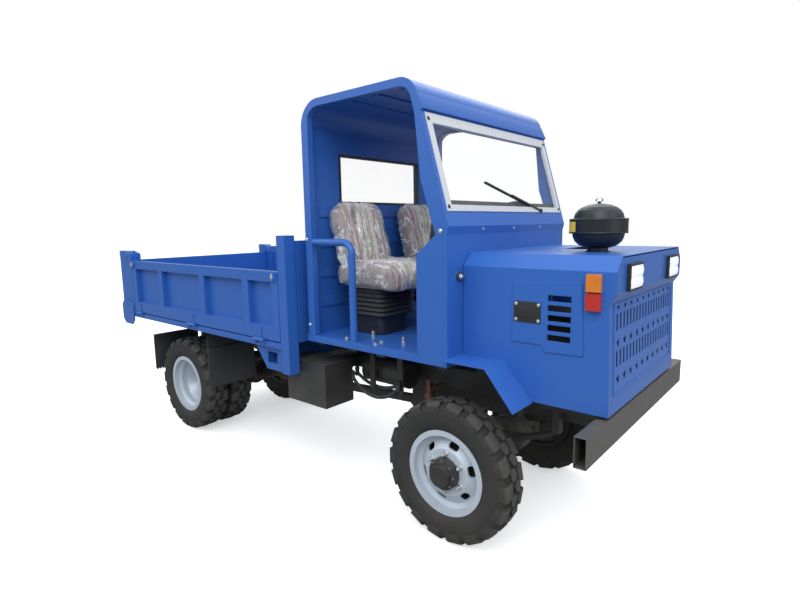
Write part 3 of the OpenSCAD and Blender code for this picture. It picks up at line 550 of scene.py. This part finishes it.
# rims: silver with a black hub, told apart by the distance from the wheel's axis, and painted shade, near black, on the
# inner side towards the middle of the vehicle
rimSet = {
    "front": {"nodes": ("rim_front_left", "rim_front_right"), "hub": 0.0835, "studCircle": 0.101, "studFace": 0.060,
              "paintedShadeTo": 0.530},
    "rear": {"nodes": ("rims_rear_left", "rims_rear_right"), "hub": 0.067, "studCircle": 0.097, "studFace": 0.009,
             "paintedShadeTo": 0.460},
    "studs": 6, "nut": (0.0105, 0.018), "shank": [(0.0062, 0), (0.0062, 0.027), (0.0045, 0.029)],
    "flangeBolts": 8, "flangeCircle": 0.070, "flangeFace": 0.0955, "flangeBolt": (0.006, 0.008),
    "drumFace": 0.045, "drum": [(0.066, 0), (0.196, 0), (0.196, 0.004), (0.066, 0.004)],
}


def rimMaterial(name, axleX, hub, paintedShadeTo):
    mat, tree, bsdf = newMaterial(name)
    place = addNode(tree, "TexCoord").outputs["Object"]
    split = addNode(tree, "SeparateXYZ", {0: place})
    dx = addMath(tree, "SUBTRACT", split.outputs["X"], axleX)
    dz = addMath(tree, "SUBTRACT", split.outputs["Z"], wheelHeight)
    square = addMath(tree, "ADD", addMath(tree, "MULTIPLY", dx, dx), addMath(tree, "MULTIPLY", dz, dz))
    inner = addMath(tree, "LESS_THAN", addMath(tree, "SQRT", square), hub)
    # painted shade: faces nearer the middle of the vehicle than the given reach turn near black, together with the hub
    back = addMath(tree, "LESS_THAN", addMath(tree, "ABSOLUTE", split.outputs["Y"]), paintedShadeTo)
    inner = addMath(tree, "MAXIMUM", inner, back)
    # near black for the real black hub and for the painted shade on the inner side
    tone = mixColor(tree, inner, finishes["rimSilver"]["color"] + (1,), (0.012, 0.012, 0.014, 1))
    dust = groupNode(tree, groundDust, Color=tone, Roughness=0.4, Amount=0.14, Reach=0.9, Scale=8.0, Variation=0.14)
    metal = addMath(tree, "MULTIPLY", addMath(tree, "SUBTRACT", 1.0, inner), 0.22)
    feed(tree, bsdf, {"Base Color": dust.outputs["Color"], "Roughness": dust.outputs["Roughness"], "Metallic": metal})
    addBumps(tree, bsdf, 0.08, 260.0, 30.0, 0.8)
    return mat


def dressRims(s):
    for end, x in (("front", frontAxle), ("rear", rearAxle)):
        e = s[end]
        mat = rimMaterial("rimPaintAndPaintedShade." + end, x, e["hub"], e["paintedShadeTo"])
        for node in e["nodes"]:
            nodes[node].data.materials[0] = mat
            side = 1 if middle(node).y > 0 else -1
            outward = (0, side, 0)
            body = node.replace("rims_", "wheels_").replace("rim_", "wheel_")
            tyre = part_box(node.replace("rims_", "tyres_").replace("rim_", "tyre_"))
            wheelY = (tyre[0][1] + tyre[1][1]) / 2

            def onCircle(radius, y, a):
                return Vector((x + radius * math.cos(a), y, wheelHeight + radius * math.sin(a)))

            bm = bmesh.new()
            for k in range(s["studs"]):
                a = 2 * math.pi * (k + 0.5) / s["studs"]
                spot = onCircle(e["studCircle"], wheelY + side * e["studFace"], a)
                addBolt(bm, spot, outward, *s["nut"])
                loft(bm, turnedRings(spot, outward, s["shank"], 12))
            if end == "front":  # bolts round the hub's flange, and the brake drum's face behind the holes
                dark = bmesh.new()
                for a in angles(s["flangeBolts"]):
                    spot = onCircle(s["flangeCircle"], wheelY + side * s["flangeFace"], a)
                    addBolt(dark, spot, outward, *s["flangeBolt"])
                face = (x, wheelY - side * s["drumFace"], wheelHeight)
                loft(dark, turnedRings(face, outward, s["drum"], 48), closed=True)
                finishPiece("drum_" + node, dark, "castMetal", body=body)
            finishPiece("studs_" + node, bm, "zincPlate", body=body)


dressRims(rimSet)
print("rims dressed")

# seats: two cushions each, swollen by a cloth simulation, in striped cloth, with loose film over them
seatSet = {
    "cushion": {"half": (0.235, 0.222, 0.066), "cap": 0.014, "place": (0.048, 0.078)},  # x and z from the base's top
    "back": {"half": (0.050, 0.208, 0.205), "cap": 0.012, "place": (-0.158, 0.306)},
    "swell": {"power": 0.36, "voxel": 0.008, "pressure": 3.0, "stiffness": 18, "bending": 2, "frames": 18},
    "wide": 0.46, "backLean": 15.0,  # the frame's seat width, and degrees
    "narrowFrom": -0.1, "narrowOver": 0.33, "narrowBy": 0.13,
    "dropFrom": 0.08, "dropOver": 0.16, "dropBy": 0.035,
    "seams": (0.075, 0.150), "seamDepth": 0.007, "seamWidth": 0.008,
    "filmGap": 0.003, "filmFold": 0.016, "filmGrain": (11, 19, 11), "filmOpen": 0.55, "filmWide": 0.62,
    "filmFolds": ((1, 1), (0.5, 2.3), (0.22, 5.1)),  # weight and fineness
    "stripes": ((0.0, (0.62, 0.57, 0.44)), (0.10, (0.42, 0.27, 0.23)), (0.14, (0.78, 0.72, 0.60)),
                (0.31, (0.88, 0.85, 0.78)), (0.335, (0.36, 0.22, 0.20)), (0.44, (0.62, 0.46, 0.42)),
                (0.52, (0.30, 0.19, 0.17)), (0.63, (0.86, 0.82, 0.74)), (0.655, (0.34, 0.24, 0.22)),
                (0.80, (0.22, 0.17, 0.17))),
    "stripeMiddle": 0.31,
}


def seatCloth(s):
    mat, tree, bsdf = newMaterial("stripedSeatCloth")
    place = addNode(tree, "TexCoord").outputs["Object"]
    split = addNode(tree, "SeparateXYZ", {0: place})
    aside = addMath(tree, "SUBTRACT", addMath(tree, "ABSOLUTE", split.outputs["Y"]), s["stripeMiddle"])
    ramp = addNode(tree, "ValToRGB", {0: addMath(tree, "MULTIPLY", addMath(tree, "ABSOLUTE", aside), 4.2)})
    ramp.color_ramp.interpolation = "CONSTANT"
    stops = ramp.color_ramp.elements
    while len(stops) < len(s["stripes"]):
        stops.new(1.0)
    for stop, (at, color) in zip(stops, s["stripes"]):
        stop.position = at
        stop.color = color + (1,)
    blotch = addNode(tree, "TexNoise", {"Vector": place, "Scale": 26.0, "Detail": 5.0, "Roughness": 0.7})
    value = addMath(tree, "ADD", addMath(tree, "MULTIPLY", blotch.outputs["Fac"], 0.9), 0.55)
    shade = addNode(tree, "HueSaturation", {"Color": ramp.outputs[0], "Value": value})
    weave, weft = (addNode(tree, "TexWave", {"Vector": place, "Scale": 260.0, "Distortion": 1.5, "Detail": 1.0},
                           wave_type="BANDS", bands_direction=way).outputs["Fac"] for way in "ZY")
    bump = addNode(tree, "Bump", {"Strength": 0.25, "Distance": 0.001, "Height": addMath(tree, "ADD", weave, weft)})
    feed(tree, bsdf, {"Base Color": shade.outputs[0], "Normal": bump.outputs[0], "Roughness": 0.82,
                      "Sheen Weight": 0.3})
    return mat


# ridges of a stretched noise, and streaks along them that show in patches; on the film the streaks are painted light
# and shade: white painted highlights, and dark painted shade in the folds
def addCreaseAndPaintedStreaks(tree, place, scale, width, turn):
    pull = addNode(tree, "Mapping", {"Vector": place, "Scale": (0.7, 2.6, 0.8), "Rotation": turn, "Location": turn})
    pull = pull.outputs[0]
    cloud = addNode(tree, "TexNoise", {"Vector": pull, "Scale": scale, "Detail": 3.0, "Roughness": 0.5,
                                       "Distortion": 0.5})
    ridge = addMath(tree, "ABSOLUTE", addMath(tree, "SUBTRACT", cloud.outputs["Fac"], 0.5))
    patch = addNode(tree, "TexNoise", {"Vector": pull, "Scale": scale * 0.7, "Detail": 2.0}).outputs["Fac"]
    patch = addNode(tree, "MapRange", {"Value": patch, "From Min": 0.42, "From Max": 0.56}).outputs[0]
    line = addNode(tree, "MapRange", {"Value": ridge, "From Min": 0.0, "From Max": width, "To Min": 1.0, "To Max": 0.0})
    return ridge, addMath(tree, "MULTIPLY", line.outputs[0], patch)


def filmMaterial():
    mat, tree, bsdf = newMaterial("clearFilmPaintedStreaks")
    place = addNode(tree, "TexCoord").outputs["Object"]
    # painted highlight: thin, opaque, near-white streaks along the creases stand in for glints of light
    ridge, white = addCreaseAndPaintedStreaks(tree, place, 11.0, 0.045, (0.3, 0.1, 0.2))
    # painted shade: opaque dark grey-blue streaks in the folds
    dark = addCreaseAndPaintedStreaks(tree, place, 8.0, 0.07, (0.5, -0.2, 0.3))[1]
    bump = addNode(tree, "Bump", {"Strength": 1.0, "Distance": 0.03, "Height": ridge}).outputs[0]
    # painted sheen: the near-white film turns more opaque where it faces away from view, standing in for reflection
    edge = addNode(tree, "LayerWeight", {"Blend": 0.32, "Normal": bump})
    alpha = addMath(tree, "ADD", addMath(tree, "MULTIPLY", edge.outputs["Facing"], 0.45), 0.08)
    alpha = addMath(tree, "ADD", alpha, addMath(tree, "MULTIPLY", white, 0.8))
    alpha = addMath(tree, "ADD", alpha, addMath(tree, "MULTIPLY", dark, 0.5), clamp=True)
    # dark grey-blue painted shade where the dark streaks lie, near white for the painted highlights elsewhere
    shadow = addMath(tree, "MULTIPLY", dark, addMath(tree, "SUBTRACT", 1.0, white))
    tone = mixColor(tree, shadow, (0.92, 0.94, 0.97, 1), (0.10, 0.11, 0.13, 1))
    feed(tree, bsdf, {"Base Color": tone, "Alpha": alpha, "Normal": bump, "Roughness": 0.09, "Specular IOR Level": 1.0})
    return mat


materials["seatCloth"] = seatCloth(seatSet)
materials["clearFilmPaintedStreaks"] = filmMaterial()


# rounded, crowned box about its own middle
def crownedBox(half, power, around=64, along=32):
    def curve(value):
        return math.copysign(abs(value) ** power, value)

    bm = bmesh.new()
    rings = []
    for i in range(1, along):
        b = -math.pi / 2 + math.pi * i / along
        rings.append([Vector((half[0] * curve(math.cos(b)) * curve(math.cos(a)),
                              half[1] * curve(math.cos(b)) * curve(math.sin(a)),
                              half[2] * curve(math.sin(b)))) for a in angles(around)])
    loft(bm, rings)
    return bm


def bakedMesh(obj):
    mesh = bpy.data.meshes.new_from_object(obj.evaluated_get(bpy.context.evaluated_depsgraph_get()))
    obj.modifiers.clear()
    return mesh


def swollenMesh(name, half, cap, s):
    bm = crownedBox(half, s["power"])
    mesh = bpy.data.meshes.new(name)
    bmesh.ops.recalc_face_normals(bm, faces=bm.faces)
    bm.to_mesh(mesh)
    bm.free()
    obj = bpy.data.objects.new(name, mesh)
    scene.collection.objects.link(obj)
    skin = obj.modifiers.new("remesh", "REMESH")
    skin.mode = "VOXEL"
    skin.voxel_size = s["voxel"]
    result = bakedMesh(obj)
    obj.data = result
    start = [v.co.copy() for v in result.vertices]
    cloth = obj.modifiers.new("cloth", "CLOTH").settings
    cloth.use_pressure = True
    cloth.uniform_pressure_force = s["pressure"]
    cloth.tension_stiffness = s["stiffness"]
    cloth.compression_stiffness = s["stiffness"]
    cloth.bending_stiffness = s["bending"]
    cloth.effector_weights.gravity = 0
    for f in range(1, s["frames"] + 1):
        scene.frame_set(f)
    result = bakedMesh(obj)
    scene.frame_set(1)
    for v, home in zip(result.vertices, start):
        step = v.co - home
        v.co = home + step * min(1.0, cap / max(step.length, 1e-9))
    bpy.data.objects.remove(obj)
    return result


# the back gets narrower towards its top, and the cushion's front edge turns down
def shapePad(mesh, part, s):
    for v in mesh.vertices:
        if part == "back":
            t = max(0.0, min(1.0, (v.co.z - s["narrowFrom"]) / s["narrowOver"]))
            v.co.y *= 1 - s["narrowBy"] * t * t
        else:
            t = max(0.0, (v.co.x - s["dropFrom"]) / s["dropOver"])
            v.co.z -= s["dropBy"] * t * t
    mesh.update()


# sewn channels along the seat
def sewnIn(mesh, s, front):
    for v in mesh.vertices:
        if v.normal.dot(front) < 0.2:
            continue
        for seam in s["seams"]:
            off = (abs(v.co.y) - seam) / s["seamWidth"]
            v.co -= front * s["seamDepth"] * math.exp(-off * off)
    mesh.update()


# loose film over a cushion: its own surface pushed out in folds, open at the far side
def filmOver(mesh, s, away, seed):
    bm = bmesh.new()
    bm.from_mesh(mesh)
    for v in bm.verts:
        v.normal_update()
    drop = [f for f in bm.faces if f.normal.dot(away) > s["filmOpen"]]
    bmesh.ops.delete(bm, geom=drop, context="FACES")
    gx, gy, gz = s["filmGrain"]
    for v in bm.verts:
        q = Vector((v.co.x * gx + seed, v.co.y * gy, v.co.z * gz))
        fold = sum(weight * abs(noise.noise(q * fineness)) for weight, fineness in s["filmFolds"])
        v.co += v.normal * (s["filmGap"] + s["filmFold"] * fold)
    return bm


def makeSeats(s):
    low, high = corners("seat_bases")
    baseX = (low.x + high.x) / 2
    seatLow, seatHigh = corners("seats")
    lateral = (2 * seatHigh.y - s["wide"]) / 2
    lean = Matrix.Rotation(math.radians(-s["backLean"]), 4, "Y")
    facing = {"cushion": (Vector((0, 0, 1)), Matrix.Identity(4)), "back": (Vector((1, 0, 0)), lean)}
    forms = {part: swollenMesh(part + "Form", s[part]["half"], s[part]["cap"], s["swell"]) for part in facing}
    pads = []
    for part, (front, turn) in facing.items():
        mesh = forms[part]
        dx, dz = s[part]["place"]
        shapePad(mesh, part, s)
        sewnIn(mesh, s, front)
        for side, sign in (("left", 1), ("right", -1)):
            place = Matrix.Translation((baseX + dx, sign * lateral, seatLow.z + dz)) @ turn
            bm = bmesh.new()
            bm.from_mesh(mesh)
            bm.transform(place)
            pad = finishPiece(f"seat_{part}_{side}", bm, "seatCloth", 60)
            smooth = pad.modifiers.new("smooth", "SUBSURF")
            smooth.levels = smooth.render_levels = 1
            pads.append(pad)
            film = filmOver(mesh, s, -front, 3.1 * sign + (7 if part == "back" else 0))
            area = sum(f.calc_area() for f in film.faces)
            film.transform(place)
            cover = finishPiece(f"film_{part}_{side}", film, "clearFilmPaintedStreaks", 180)
    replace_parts(pads[0], "seats")


makeSeats(seatSet)
print("seats made")

# pleated rubber under each seat
bellowsSet = {
    "wide": 0.155, "waist": 0.139, "foot": 0.113, "corner": 0.032, "gap": 0.0005,
    "plinth": ((0.0005, 0.0), (0.012, 0.006), (0.10, 0.010)),  # height, and how far out from the foot
    "pleats": 6, "pleatsFrom": 0.112, "pleatsBelow": 0.006, "topOut": 0.012,
    "pleat": ((0.04, "waist", 0), (0.38, "wide", 0.003), (0.5, "wide", 0), (0.62, "wide", 0.003), (0.96, "waist", 0)),
}


def roundedSquare(half, corner, steps=5):
    points = []
    for k, (sx, sy) in enumerate(((1, 1), (-1, 1), (-1, -1), (1, -1))):
        for i in range(steps + 1):
            a = math.pi / 2 * (k + i / steps)
            points.append((sx * (half - corner) + corner * math.cos(a), sy * (half - corner) + corner * math.sin(a)))
    return points


def makeBellows(s):
    low, high = corners("seat_bases")
    lateral = high.y - s["wide"] + 0.001
    rings = [(low.z + h, s["foot"] + out) for h, out in s["plinth"]]
    z = low.z + s["pleatsFrom"]
    step = (high.z - s["pleatsBelow"] - z) / s["pleats"]
    for k in range(s["pleats"]):
        rings += [(z + step * (k + at), s[edge] - inset) for at, edge, inset in s["pleat"]]
    rings.append((high.z - s["gap"], s["waist"] + s["topOut"]))
    bm = bmesh.new()
    for sign in (-1, 1):
        centre = Vector(((low.x + high.x) / 2, sign * lateral, 0))
        loft(bm, [[centre + Vector((x, y, h)) for x, y in roundedSquare(half, s["corner"])] for h, half in rings])
    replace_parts(finishPiece("seat_bellows", bm, "blackRubber", 50), "seat_bases")


makeBellows(bellowsSet)
print("bellows made")

# side lamps: fluted lenses, amber over red
lampSet = {"flutes": 9, "rise": 0.0022, "edge": 0.004, "thick": 0.026, "inset": 0.001}


def makeSideLamps(s):
    steps, edge, inset = s["flutes"] * 6, s["edge"], s["inset"]
    for node, mat, slot in (("indicator_lenses", "amberLens", "amber_lens"), ("marker_lenses", "redLens", "red_lens")):
        low, high = corners(node)
        bm = bmesh.new()
        for sign in (-1, 1):
            back = sign * (high.y - s["thick"])
            rows = []
            for i in range(steps + 1):
                x = low.x + edge + (high.x - low.x - 2 * edge) * i / steps
                y = high.y - s["rise"] + s["rise"] * abs(math.sin(math.pi * s["flutes"] * i / steps))
                rows.append([Vector((x, back, low.z + inset)), Vector((x, back, high.z - inset)),
                             Vector((x, sign * y, high.z - edge)), Vector((x, sign * y, low.z + edge))])
            loft(bm, rows)
        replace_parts(finishPiece("fluted_" + node, bm, mat, 40), node)


makeSideLamps(lampSet)

# headlamps: bright cups in rows behind a clear front, in a black rim
headSet = {
    "wide": 0.156, "columns": 4, "rows": 2, "plate": (0.0005, 0.0015), "front": 0.0016, "inset": 0.001, "cup": 0.018,
    "profile": ((1, 0), (1, 0.0042), (0.8, 0.0042), (0.42, 0.001), (0.3, 0.0032), (0.12, 0.004)),
}


def makeHeadlamps(s):
    low, high = corners("headlamp_lenses")
    bm = bmesh.new()
    clear = bmesh.new()
    wide, tall, inset = s["wide"], high.z - low.z, s["inset"]
    profile = [(s["cup"] * share, h) for share, h in s["profile"]]
    for sign in (-1, 1):
        midY = sign * (high.y - wide / 2)
        back, face = s["plate"]
        addBox(bm, (low.x + back, midY - wide / 2, low.z), (low.x + face, midY + wide / 2, high.z), 0.0004)
        for i in range(s["columns"]):
            for j in range(s["rows"]):
                y = midY + wide * ((i + 0.5) / s["columns"] - 0.5)
                spot = Vector((low.x + inset, y, low.z + tall * (j + 0.5) / s["rows"]))
                loft(bm, turnedRings(spot, (1, 0, 0), profile, 20))
        addBox(clear, (high.x - s["front"], midY - wide / 2 + inset, low.z + inset),
               (high.x, midY + wide / 2 - inset, high.z - inset), 0.0006)
    bright = finishPiece("headlamp_cups", bm, "lampChrome", 30)
    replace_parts(bright, "headlamp_lenses")
    finishPiece("headlamp_fronts", clear, "clearGlass", 30)


makeHeadlamps(headSet)
print("lamps made")

# blank plate on the hood's right side
plateSet = {"x": (0.336, 0.467), "z": (1.192, 1.288), "thick": 0.003, "screw": 0.0055, "screwIn": (0.011, 0.012),
            "fieldIn": (0.022, 0.024), "fieldRise": 0.002}


def makePlate(s):
    side = corners("hood_shell")[0].y  # outer face of the raised panel on the right
    face = side - s["thick"]
    x0, x1 = (x + frontAxle for x in s["x"])
    z0, z1 = s["z"]
    plate = bmesh.new()
    bolts = bmesh.new()
    addBox(plate, (x0, face, z0), (x1, side + 0.0005, z1), 0.001)
    inX, inZ = s["fieldIn"]
    addBox(plate, (x0 + inX, face - s["fieldRise"], z0 + inZ), (x1 - inX, side - 0.001, z1 - inZ), 0.0015)
    inX, inZ = s["screwIn"]
    for x in (x0 + inX, x1 - inX):
        for z in (z0 + inZ, z1 - inZ):
            addBolt(bolts, (x, face, z), (0, -1, 0), s["screw"], 0.004)
    finishPiece("blank_plate", plate, "blackPlastic")
    finishPiece("hood_bolts", bolts, "zincPlate")


makePlate(plateSet)

# grille: a thin raised frame round it, and a dark screen behind it
grilleSet = {
    "y": 0.452, "z": (0.912, 1.332), "topBelow": 0.212, "wide": 0.010, "rise": 0.004,
    "profile": ((0, 0.6), (0.3, 1), (0.7, 1), (1, 0.6)), "sink": 0.001,  # shares of wide and rise
    "frontIn": 0.012, "lean": 0.016, "stepBelow": 0.199,
    "screenY": 0.49, "screenUp": 0.05, "screenBelow": 0.205, "screenBack": (0.016, 0.018),
}


def makeGrille(s):
    low, high = corners("hood_shell")

    def frontX(z):  # the front leans back up to the lamps' step
        return high.x - s["frontIn"] - s["lean"] * (z - low.z) / (high.z - s["stepBelow"] - low.z)

    def border(y, z0, z1, rise):
        return [Vector((frontX(b) + rise, a, b)) for a, b in ((-y, z0), (y, z0), (y, z1), (-y, z1))]

    steps = [(s["wide"] * d, s["rise"] * rise) for d, rise in s["profile"]]
    steps = [(0, -s["sink"])] + steps + [(s["wide"], -s["sink"])]
    top = min(s["z"][1], high.z - s["topBelow"])
    raised = bmesh.new()
    loft(raised, [border(s["y"] + d, s["z"][0] - d, top + d, rise) for d, rise in steps], closed=True)
    screen = bmesh.new()
    z0, z1 = low.z + s["screenUp"], high.z - s["screenBelow"]
    loft(screen, [border(s["screenY"], z0, z1, -d) for d in s["screenBack"]])
    finishPiece("grille_screen", screen, "blackPlastic")
    finishPiece("grille_frame", raised, "bluePaint", 20)


makeGrille(grilleSet)

# filter: a blank label on its band, rolled edges of bowl and lid, and a hook on top
filterSet = {
    "turn": (-166, -120), "labelZ": (1.592, 1.640), "labelOut": (-0.0005, 0.0009), "labelSteps": 12,
    "edges": (1.588, 1.650), "edgeIn": 0.001, "edgeRadius": 0.0035, "edgeSides": 72,
    "boss": [(0.02, -0.004), (0.02, 0.001), (0.012, 0.003)], "bossBelow": 0.018,
    "hookBelow": 0.004, "hookWide": 0.016, "hookTall": 0.010, "hookWire": 0.0028,
}


def dressFilter(s):
    low, high = corners("air_cleaner")
    mid = middle("air_cleaner")
    radius = (high.x - low.x) / 2
    label = bmesh.new()
    a0, a1 = (math.radians(v) for v in s["turn"])
    (in0, out0), (z0, z1) = s["labelOut"], s["labelZ"]
    rings = []
    for k in range(s["labelSteps"] + 1):
        a = a0 + (a1 - a0) * k / s["labelSteps"]
        out = Vector((math.cos(a), math.sin(a), 0))
        rings.append([Vector((mid.x, mid.y, 0)) + out * (radius + d) + Vector((0, 0, z))
                      for d, z in ((in0, z0), (in0, z1), (out0, z1), (out0, z0))])
    loft(label, rings)
    finishPiece("filter_label", label, "labelYellow")
    band = bmesh.new()
    r = s["edgeRadius"]
    for z in s["edges"]:
        rings = []
        for a in angles(s["edgeSides"]):
            out = Vector((math.cos(a), math.sin(a), 0))
            rings.append([Vector((mid.x, mid.y, z)) + out * (radius - s["edgeIn"] + r * math.cos(t))
                          + Vector((0, 0, r * math.sin(t))) for t in angles(8)])
        loft(band, rings, closed=True)
    loft(band, turnedRings((mid.x, mid.y, high.z - s["bossBelow"]), (0, 0, 1), s["boss"], 24))
    top = Vector((mid.x, mid.y, high.z - s["hookBelow"]))
    tall, wire = s["hookTall"], s["hookWire"]
    hook = [top + Vector((s["hookWide"] * math.cos(a), 0, tall + tall * math.sin(a)))
            for a in (math.radians(-60 + 25 * k) for k in range(12))]
    loft(band, [[q + Vector((wire * math.cos(b), wire * math.sin(b), 0)) for b in angles(8)] for q in hook])
    finishPiece("filter_rims", band, "filterBlack")


dressFilter(filterSet)

# cab trim: grey strip round the glass with its screws, dash pad and visor lip
cowlX = corners("hood_shell")[0].x - 0.003
screenSet = {
    "tilt": 15.9, "footIn": 0.010, "sideIn": 0.058, "up": (0.030, 0.440), "strip": 0.036, "thick": 0.003,
    "screw": 0.007,
    "pad": ((0.001, -0.020), (0.036, -0.020), (0.036, -0.026), (0.001, -0.026)),  # up from the screen's foot, and out
    "lip": ((0.497, -0.001), (0.497, 0.013), (0.502, 0.015), (0.580, 0.0015), (0.580, -0.001)),
}


def dressScreen(s):
    high = corners("windscreen_frame")[1]
    tilt = math.radians(s["tilt"])
    up = Vector((-math.sin(tilt), 0, math.cos(tilt)))
    out = Vector((math.cos(tilt), 0, math.sin(tilt)))
    foot = Vector((cowlX - s["footIn"], 0, corners("cab_cowl")[1].z))
    half = high.y - s["sideIn"]
    (w0, w1), b, thick = s["up"], s["strip"], s["thick"]

    def spot(y, w, d):
        return foot + up * w + out * d + Vector((0, y, 0))

    def border(y, low, top, d):
        return [spot(-y, low, d), spot(y, low, d), spot(y, top, d), spot(-y, top, d)]

    screws = bmesh.new()
    for y in (-half - b / 2, half + b / 2):
        for w in (w0 - 0.004, w1 + b / 2):
            addBolt(screws, spot(y, w, thick), out, s["screw"], 0.004)
    finishPiece("screen_screws", screws, "blackPaint")
    pad = bmesh.new()
    loft(pad, [[spot(y, w0 + w, d) for w, d in s["pad"]] for y in (-half + 0.002, half - 0.002)])
    finishPiece("dash_pad", pad, "blackPlastic")
    lip = bmesh.new()
    loft(lip, [[spot(y, w, d) for w, d in s["lip"]] for y in (-high.y, high.y)])
    finishPiece("visor_lip", lip, "bluePaint")
    strip = bmesh.new()
    outer = (half + b, w0 - b * 0.7, w1 + 0.048)
    inner = (half - 0.006, w0 + 0.006, w1 - 0.001)
    loft(strip, [border(*outer, 0.0), border(*outer, thick), border(*inner, thick), border(*inner, -0.012)],
         closed=True)
    finishPiece("screen_strip", strip, "greyStrip")


dressScreen(screenSet)

# bolts of floor, posts and cowl, and the hood's hold-downs with black washers
boltSet = {
    "floor": ((-0.986, 0.621, 0.012), (-0.972, 0.558, 0.012), (-0.682, 0.612, 0.012), (-0.631, 0.608, 0.012),
              (-0.603, 0.472, 0.034), (-0.449, 0.620, 0.012), (-0.456, 0.563, 0.012), (-0.356, 0.489, 0.034)),
    "post": ((-0.955, 1.05), (-0.955, 1.56), (0.015, 1.607)), "cowl": (-0.34, -0.019, 0.306), "cowlZ": 1.612,
    "floorRadius": 0.010, "small": (0.008, 0.008),
    "holdDown": (0.552, 1.386), "washer": [(0.025, -0.001), (0.025, 0.007), (0.021, 0.010)],
    "holdBolt": (0.010, 0.012), "holdOut": 0.010,
}


def dressCab(s):
    floor = corners("cab_floor")[1]
    bolts = bmesh.new()
    for sign in (-1, 1):
        for x, y, tall in s["floor"]:
            addBolt(bolts, (frontAxle + x, sign * y, floor.z), (0, 0, 1), s["floorRadius"], tall)
        for x, z in s["post"]:
            addBolt(bolts, (frontAxle + x, sign * floor.y, z), (0, sign, 0), *s["small"])
    for y in s["cowl"]:
        addBolt(bolts, (cowlX, y, s["cowlZ"]), (1, 0, 0), *s["small"])
    finishPiece("cab_bolts", bolts, "zincPlate")
    washers = bmesh.new()
    heads = bmesh.new()
    for sign in (-1, 1):
        base = Vector((cowlX, sign * s["holdDown"][0], s["holdDown"][1]))
        loft(washers, turnedRings(base, (1, 0, 0), s["washer"], 24))
        addBolt(heads, base + Vector((s["holdOut"], 0, 0)), (1, 0, 0), *s["holdBolt"])
    finishPiece("hold_down_bolts", heads, "zincPlate")
    finishPiece("hold_downs", washers, "blackRubber")


dressCab(boltSet)

# bed trim: latch handles
bedSet = {"face": 0.752 + 0.013, "in": 0.035, "knob": [(0.012, -0.002), (0.012, 0.008), (0.012 * 0.75, 0.010)],
          "barHalf": 0.006, "barThick": 0.007, "bar": (0.052, 0.010)}


def dressBed(s):
    for name in ("gate_left", "gate_right"):
        low, high = corners(name)
        sign = 1 if low.y > 0 else -1
        bm = bmesh.new()
        for x in (low.x + s["in"], high.x - s["in"]):
            base = Vector((x, sign * s["face"], high.z - s["in"]))
            loft(bm, turnedRings(base, (0, sign, 0), s["knob"], 20))
            y0, y1 = sorted((base.y, base.y + sign * s["barThick"]))
            (z0, z1), half = (high.z - d for d in s["bar"]), s["barHalf"]
            addBox(bm, (x - half, y0, z0), (x + half, y1, z1), 0.002)
        finishPiece("latches_" + name, bm, "zincPlate", body=name)


dressBed(bedSet)

# under the cab: a rusted lever on the chassis
leverSet = {"x": -0.299, "y": -0.340, "z": (0.650, 0.748), "half": (0.011, 0.006), "armHalf": 0.016, "armIn": 0.005,
            "armTo": -0.222, "armZ": (0.03, 0.05), "eye": [(0.020, 0), (0.020, 0.024), (0.016, 0.026)],
            "eyeOut": 0.012, "eyeUp": 0.004, "bevel": 0.003}


def makeLever(s):
    bm = bmesh.new()
    x, y, (z0, z1) = frontAxle + s["x"], s["y"], s["z"]
    hx, hy = s["half"]
    addBox(bm, (x - hx, y - hy, z0), (x + hx, y + hy, z1), s["bevel"])
    addBox(bm, (x - s["armHalf"], y - s["armIn"], z0 + s["armZ"][0]), (x + s["armHalf"], s["armTo"], z0 + s["armZ"][1]),
           s["bevel"])
    loft(bm, turnedRings((x, y - s["eyeOut"], z0 + s["eyeUp"]), (0, 1, 0), s["eye"], 24))
    finishPiece("rusted_lever", bm, "rustedSteel")


makeLever(leverSet)
print("trim made")
